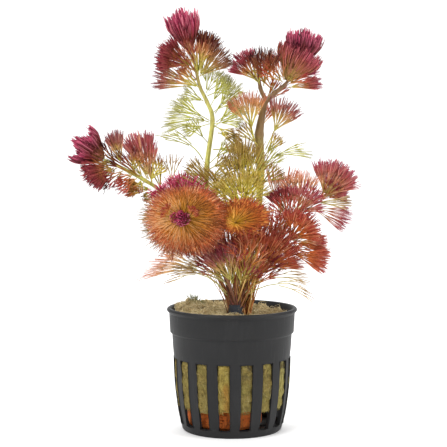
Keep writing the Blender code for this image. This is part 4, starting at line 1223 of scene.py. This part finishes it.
def dome_threads(picker, cup):
    """Lay long threads over the cup's mouth, from near its heart out to the rim and a little past it."""
    s = np.linspace(0, 1, THREAD_STEPS)
    count = max(DOME_LEAST, round(DOME_SHARE * cup[2] * cup[3]))
    draw = thread_draws(picker, count)
    turn = draw(0, 2 * math.pi)
    loose = RAGGED / min(cup[2], cup[3])
    rim = 1.0 + loose / 3 * (np.sin(3 * turn + 1.0) + 0.6 * np.sin(7 * turn)) - 0.04 * np.cos(4 * turn)
    start = 0.02 + 0.64 * draw(0, 1) ** 0.8
    stop = np.minimum(start + draw(0.3, 0.6), rim * (1 - 1.2 * loose + 2.2 * loose * draw(0, 1) ** 0.7))
    out = start + (stop - start) * s
    level = 1.0 - DOME_FALL * np.clip((out - DOME_EDGE) / (1 - DOME_EDGE), 0, 1.2) ** 2
    level = level - HEART_DEPTH * np.clip(HEART_REACH - out, 0, 1) / HEART_REACH
    level = level - 0.09 * (1 - s) ** 2 + draw(-0.06, 0.06)
    turn = turn + draw(-0.15, 0.15) * s ** 2
    places = on_cup(cup, DOME_PATH, 1.0, out, turn, 0 * out, level)
    radius = THREAD_RADIUS * (0.64 - 0.3 * s ** 2) * np.ones((count, 1))
    reach = np.clip(0.05 + 0.78 * out + 0.2 * out * np.clip(-np.sin(turn), 0, 1), 0, 1)
    first = turn[:, :1]
    # The tone, which sets each thread's painted highlight or painted shade, is raised on the left and for
    # threads that start near the heart, and lowered on the top, so painted light falls on the left and
    # painted shade on the top.
    tone = draw(0, 1) + 0.25 * np.cos(first) + 0.25 * np.clip(1 - start / 0.4, 0, 1)
    tone = np.clip(tone - 0.2 * np.clip(np.sin(first), 0, 1), 0, 1)
    return [(places, radius, reach, tone[:, 0])]


for name, (base, tip, wide, high, tufts, heart, shade, slot) in TIPS.items():
    picker = random.Random(name)
    cup = (base, tip, wide, high, tufts, heart or (0.0, 0.0))
    first = picker.uniform(0, 2 * math.pi)
    parts = []
    if heart:
        leaves = max(SHELL_LEAST, round(wide))
        share = 2 * math.pi / leaves
        for k in range(leaves):
            parts.append(cup_leaf(picker, cup, SHELL, 1.0, first + share * k, SHELL_OVERLAP * share, 1.0))
        parts += dome_threads(picker, cup)
    else:
        leaves = min(BRUSH_LEAVES, round(BRUSH_SHARE * wide ** 2))
        for k in range(leaves):
            width = math.sqrt((k + 0.5) / leaves)
            turn = first + GOLDEN_ANGLE * k + picker.uniform(-0.2, 0.2)
            half_turn, stop = 0.2 + 0.26 / (width + 0.3), 1.08 - 0.2 * width
            parts.append(cup_leaf(picker, cup, BRUSH, width, turn, half_turn, stop))
        parts += bud_threads(picker, cup)
    grow_piece("threads_" + name, parts, shade, [name], slot)

# Floor, backdrop, light and camera
# The plant stands on a white paper sheet that curves up behind it, under three large soft lights. The
# camera stands half a metre in front, at two thirds of the plant's height, and looks down a little.
STAGE_HALF = 1.2
STAGE_FRONT = -0.9
STAGE_BACK = 0.75
STAGE_CURVE = 0.45
STAGE_TOP = 1.6
STAGE_STEPS = 12
ROOM_LIGHT = 0.55


def backdrop():
    profile = [(STAGE_FRONT, 0.0), (STAGE_BACK, 0.0)]
    for k in range(1, STAGE_STEPS + 1):
        turn = math.radians(90 * k / STAGE_STEPS)
        profile.append((STAGE_BACK + STAGE_CURVE * math.sin(turn), STAGE_CURVE * (1 - math.cos(turn))))
    profile.append((STAGE_BACK + STAGE_CURVE, STAGE_TOP))
    vertices = [(x, y, z) for y, z in profile for x in (-STAGE_HALF, STAGE_HALF)]
    faces = [(2 * k, 2 * k + 1, 2 * k + 3, 2 * k + 2) for k in range(len(profile) - 1)]
    mesh = bpy.data.meshes.new("backdrop")
    mesh.from_pydata(vertices, [], faces)
    mesh.shade_smooth()
    sheet = bpy.data.objects.new("backdrop", mesh)
    bpy.context.collection.objects.link(sheet)
    paper = Surface("white_paper", {"Base Color": (0.93, 0.93, 0.93), "Roughness": 0.9,
                                    "Specular IOR Level": 0.1})
    mesh.materials.append(paper.material)
    return sheet


def soft_light(name, place, aim, size, power):
    light = bpy.data.lights.new(name, "AREA")
    light.shape = "RECTANGLE"
    light.size, light.size_y = size
    light.energy = power
    lamp = bpy.data.objects.new(name, light)
    bpy.context.collection.objects.link(lamp)
    lamp.location = place
    direction = np.array(aim) - np.array(place)
    pitch = math.atan2(math.hypot(direction[0], direction[1]), -direction[2])
    lamp.rotation_euler = (pitch, 0, math.atan2(direction[1], direction[0]) - math.pi / 2)


backdrop()
soft_light("soft_left", (-0.75, -0.7, 0.95), (0, 0, 0.08), (0.7, 0.7), 13.0)
soft_light("soft_right", (0.85, -0.35, 0.6), (0, 0, 0.06), (0.5, 0.9), 7.0)
soft_light("soft_back", (0.0, 0.55, 0.95), (0, 0, 0.1), (1.2, 0.5), 7.0)
world = bpy.data.worlds.new("studio")
world.use_nodes = True
room = world.node_tree.nodes["Background"].inputs
room["Color"].default_value = (1.0, 1.0, 1.0, 1.0)
room["Strength"].default_value = ROOM_LIGHT
bpy.context.scene.world = world
bpy.context.scene.view_settings.view_transform = "Standard"

SENSOR = 36.0
FOCAL_PIXELS = 1254.0
FRAME_PIXELS = 447.0
TILT = math.radians(3.53)
camera = bpy.data.cameras.new("camera")
camera.sensor_width = SENSOR
camera.lens = FOCAL_PIXELS * SENSOR / FRAME_PIXELS
eye = bpy.data.objects.new("camera", camera)
bpy.context.collection.objects.link(eye)
eye.location = (EYE[0] * MM, -VIEW_DISTANCE * MM, EYE[1] * MM)
eye.rotation_euler = (math.pi / 2 - TILT, 0, 0)
bpy.context.scene.camera = eye
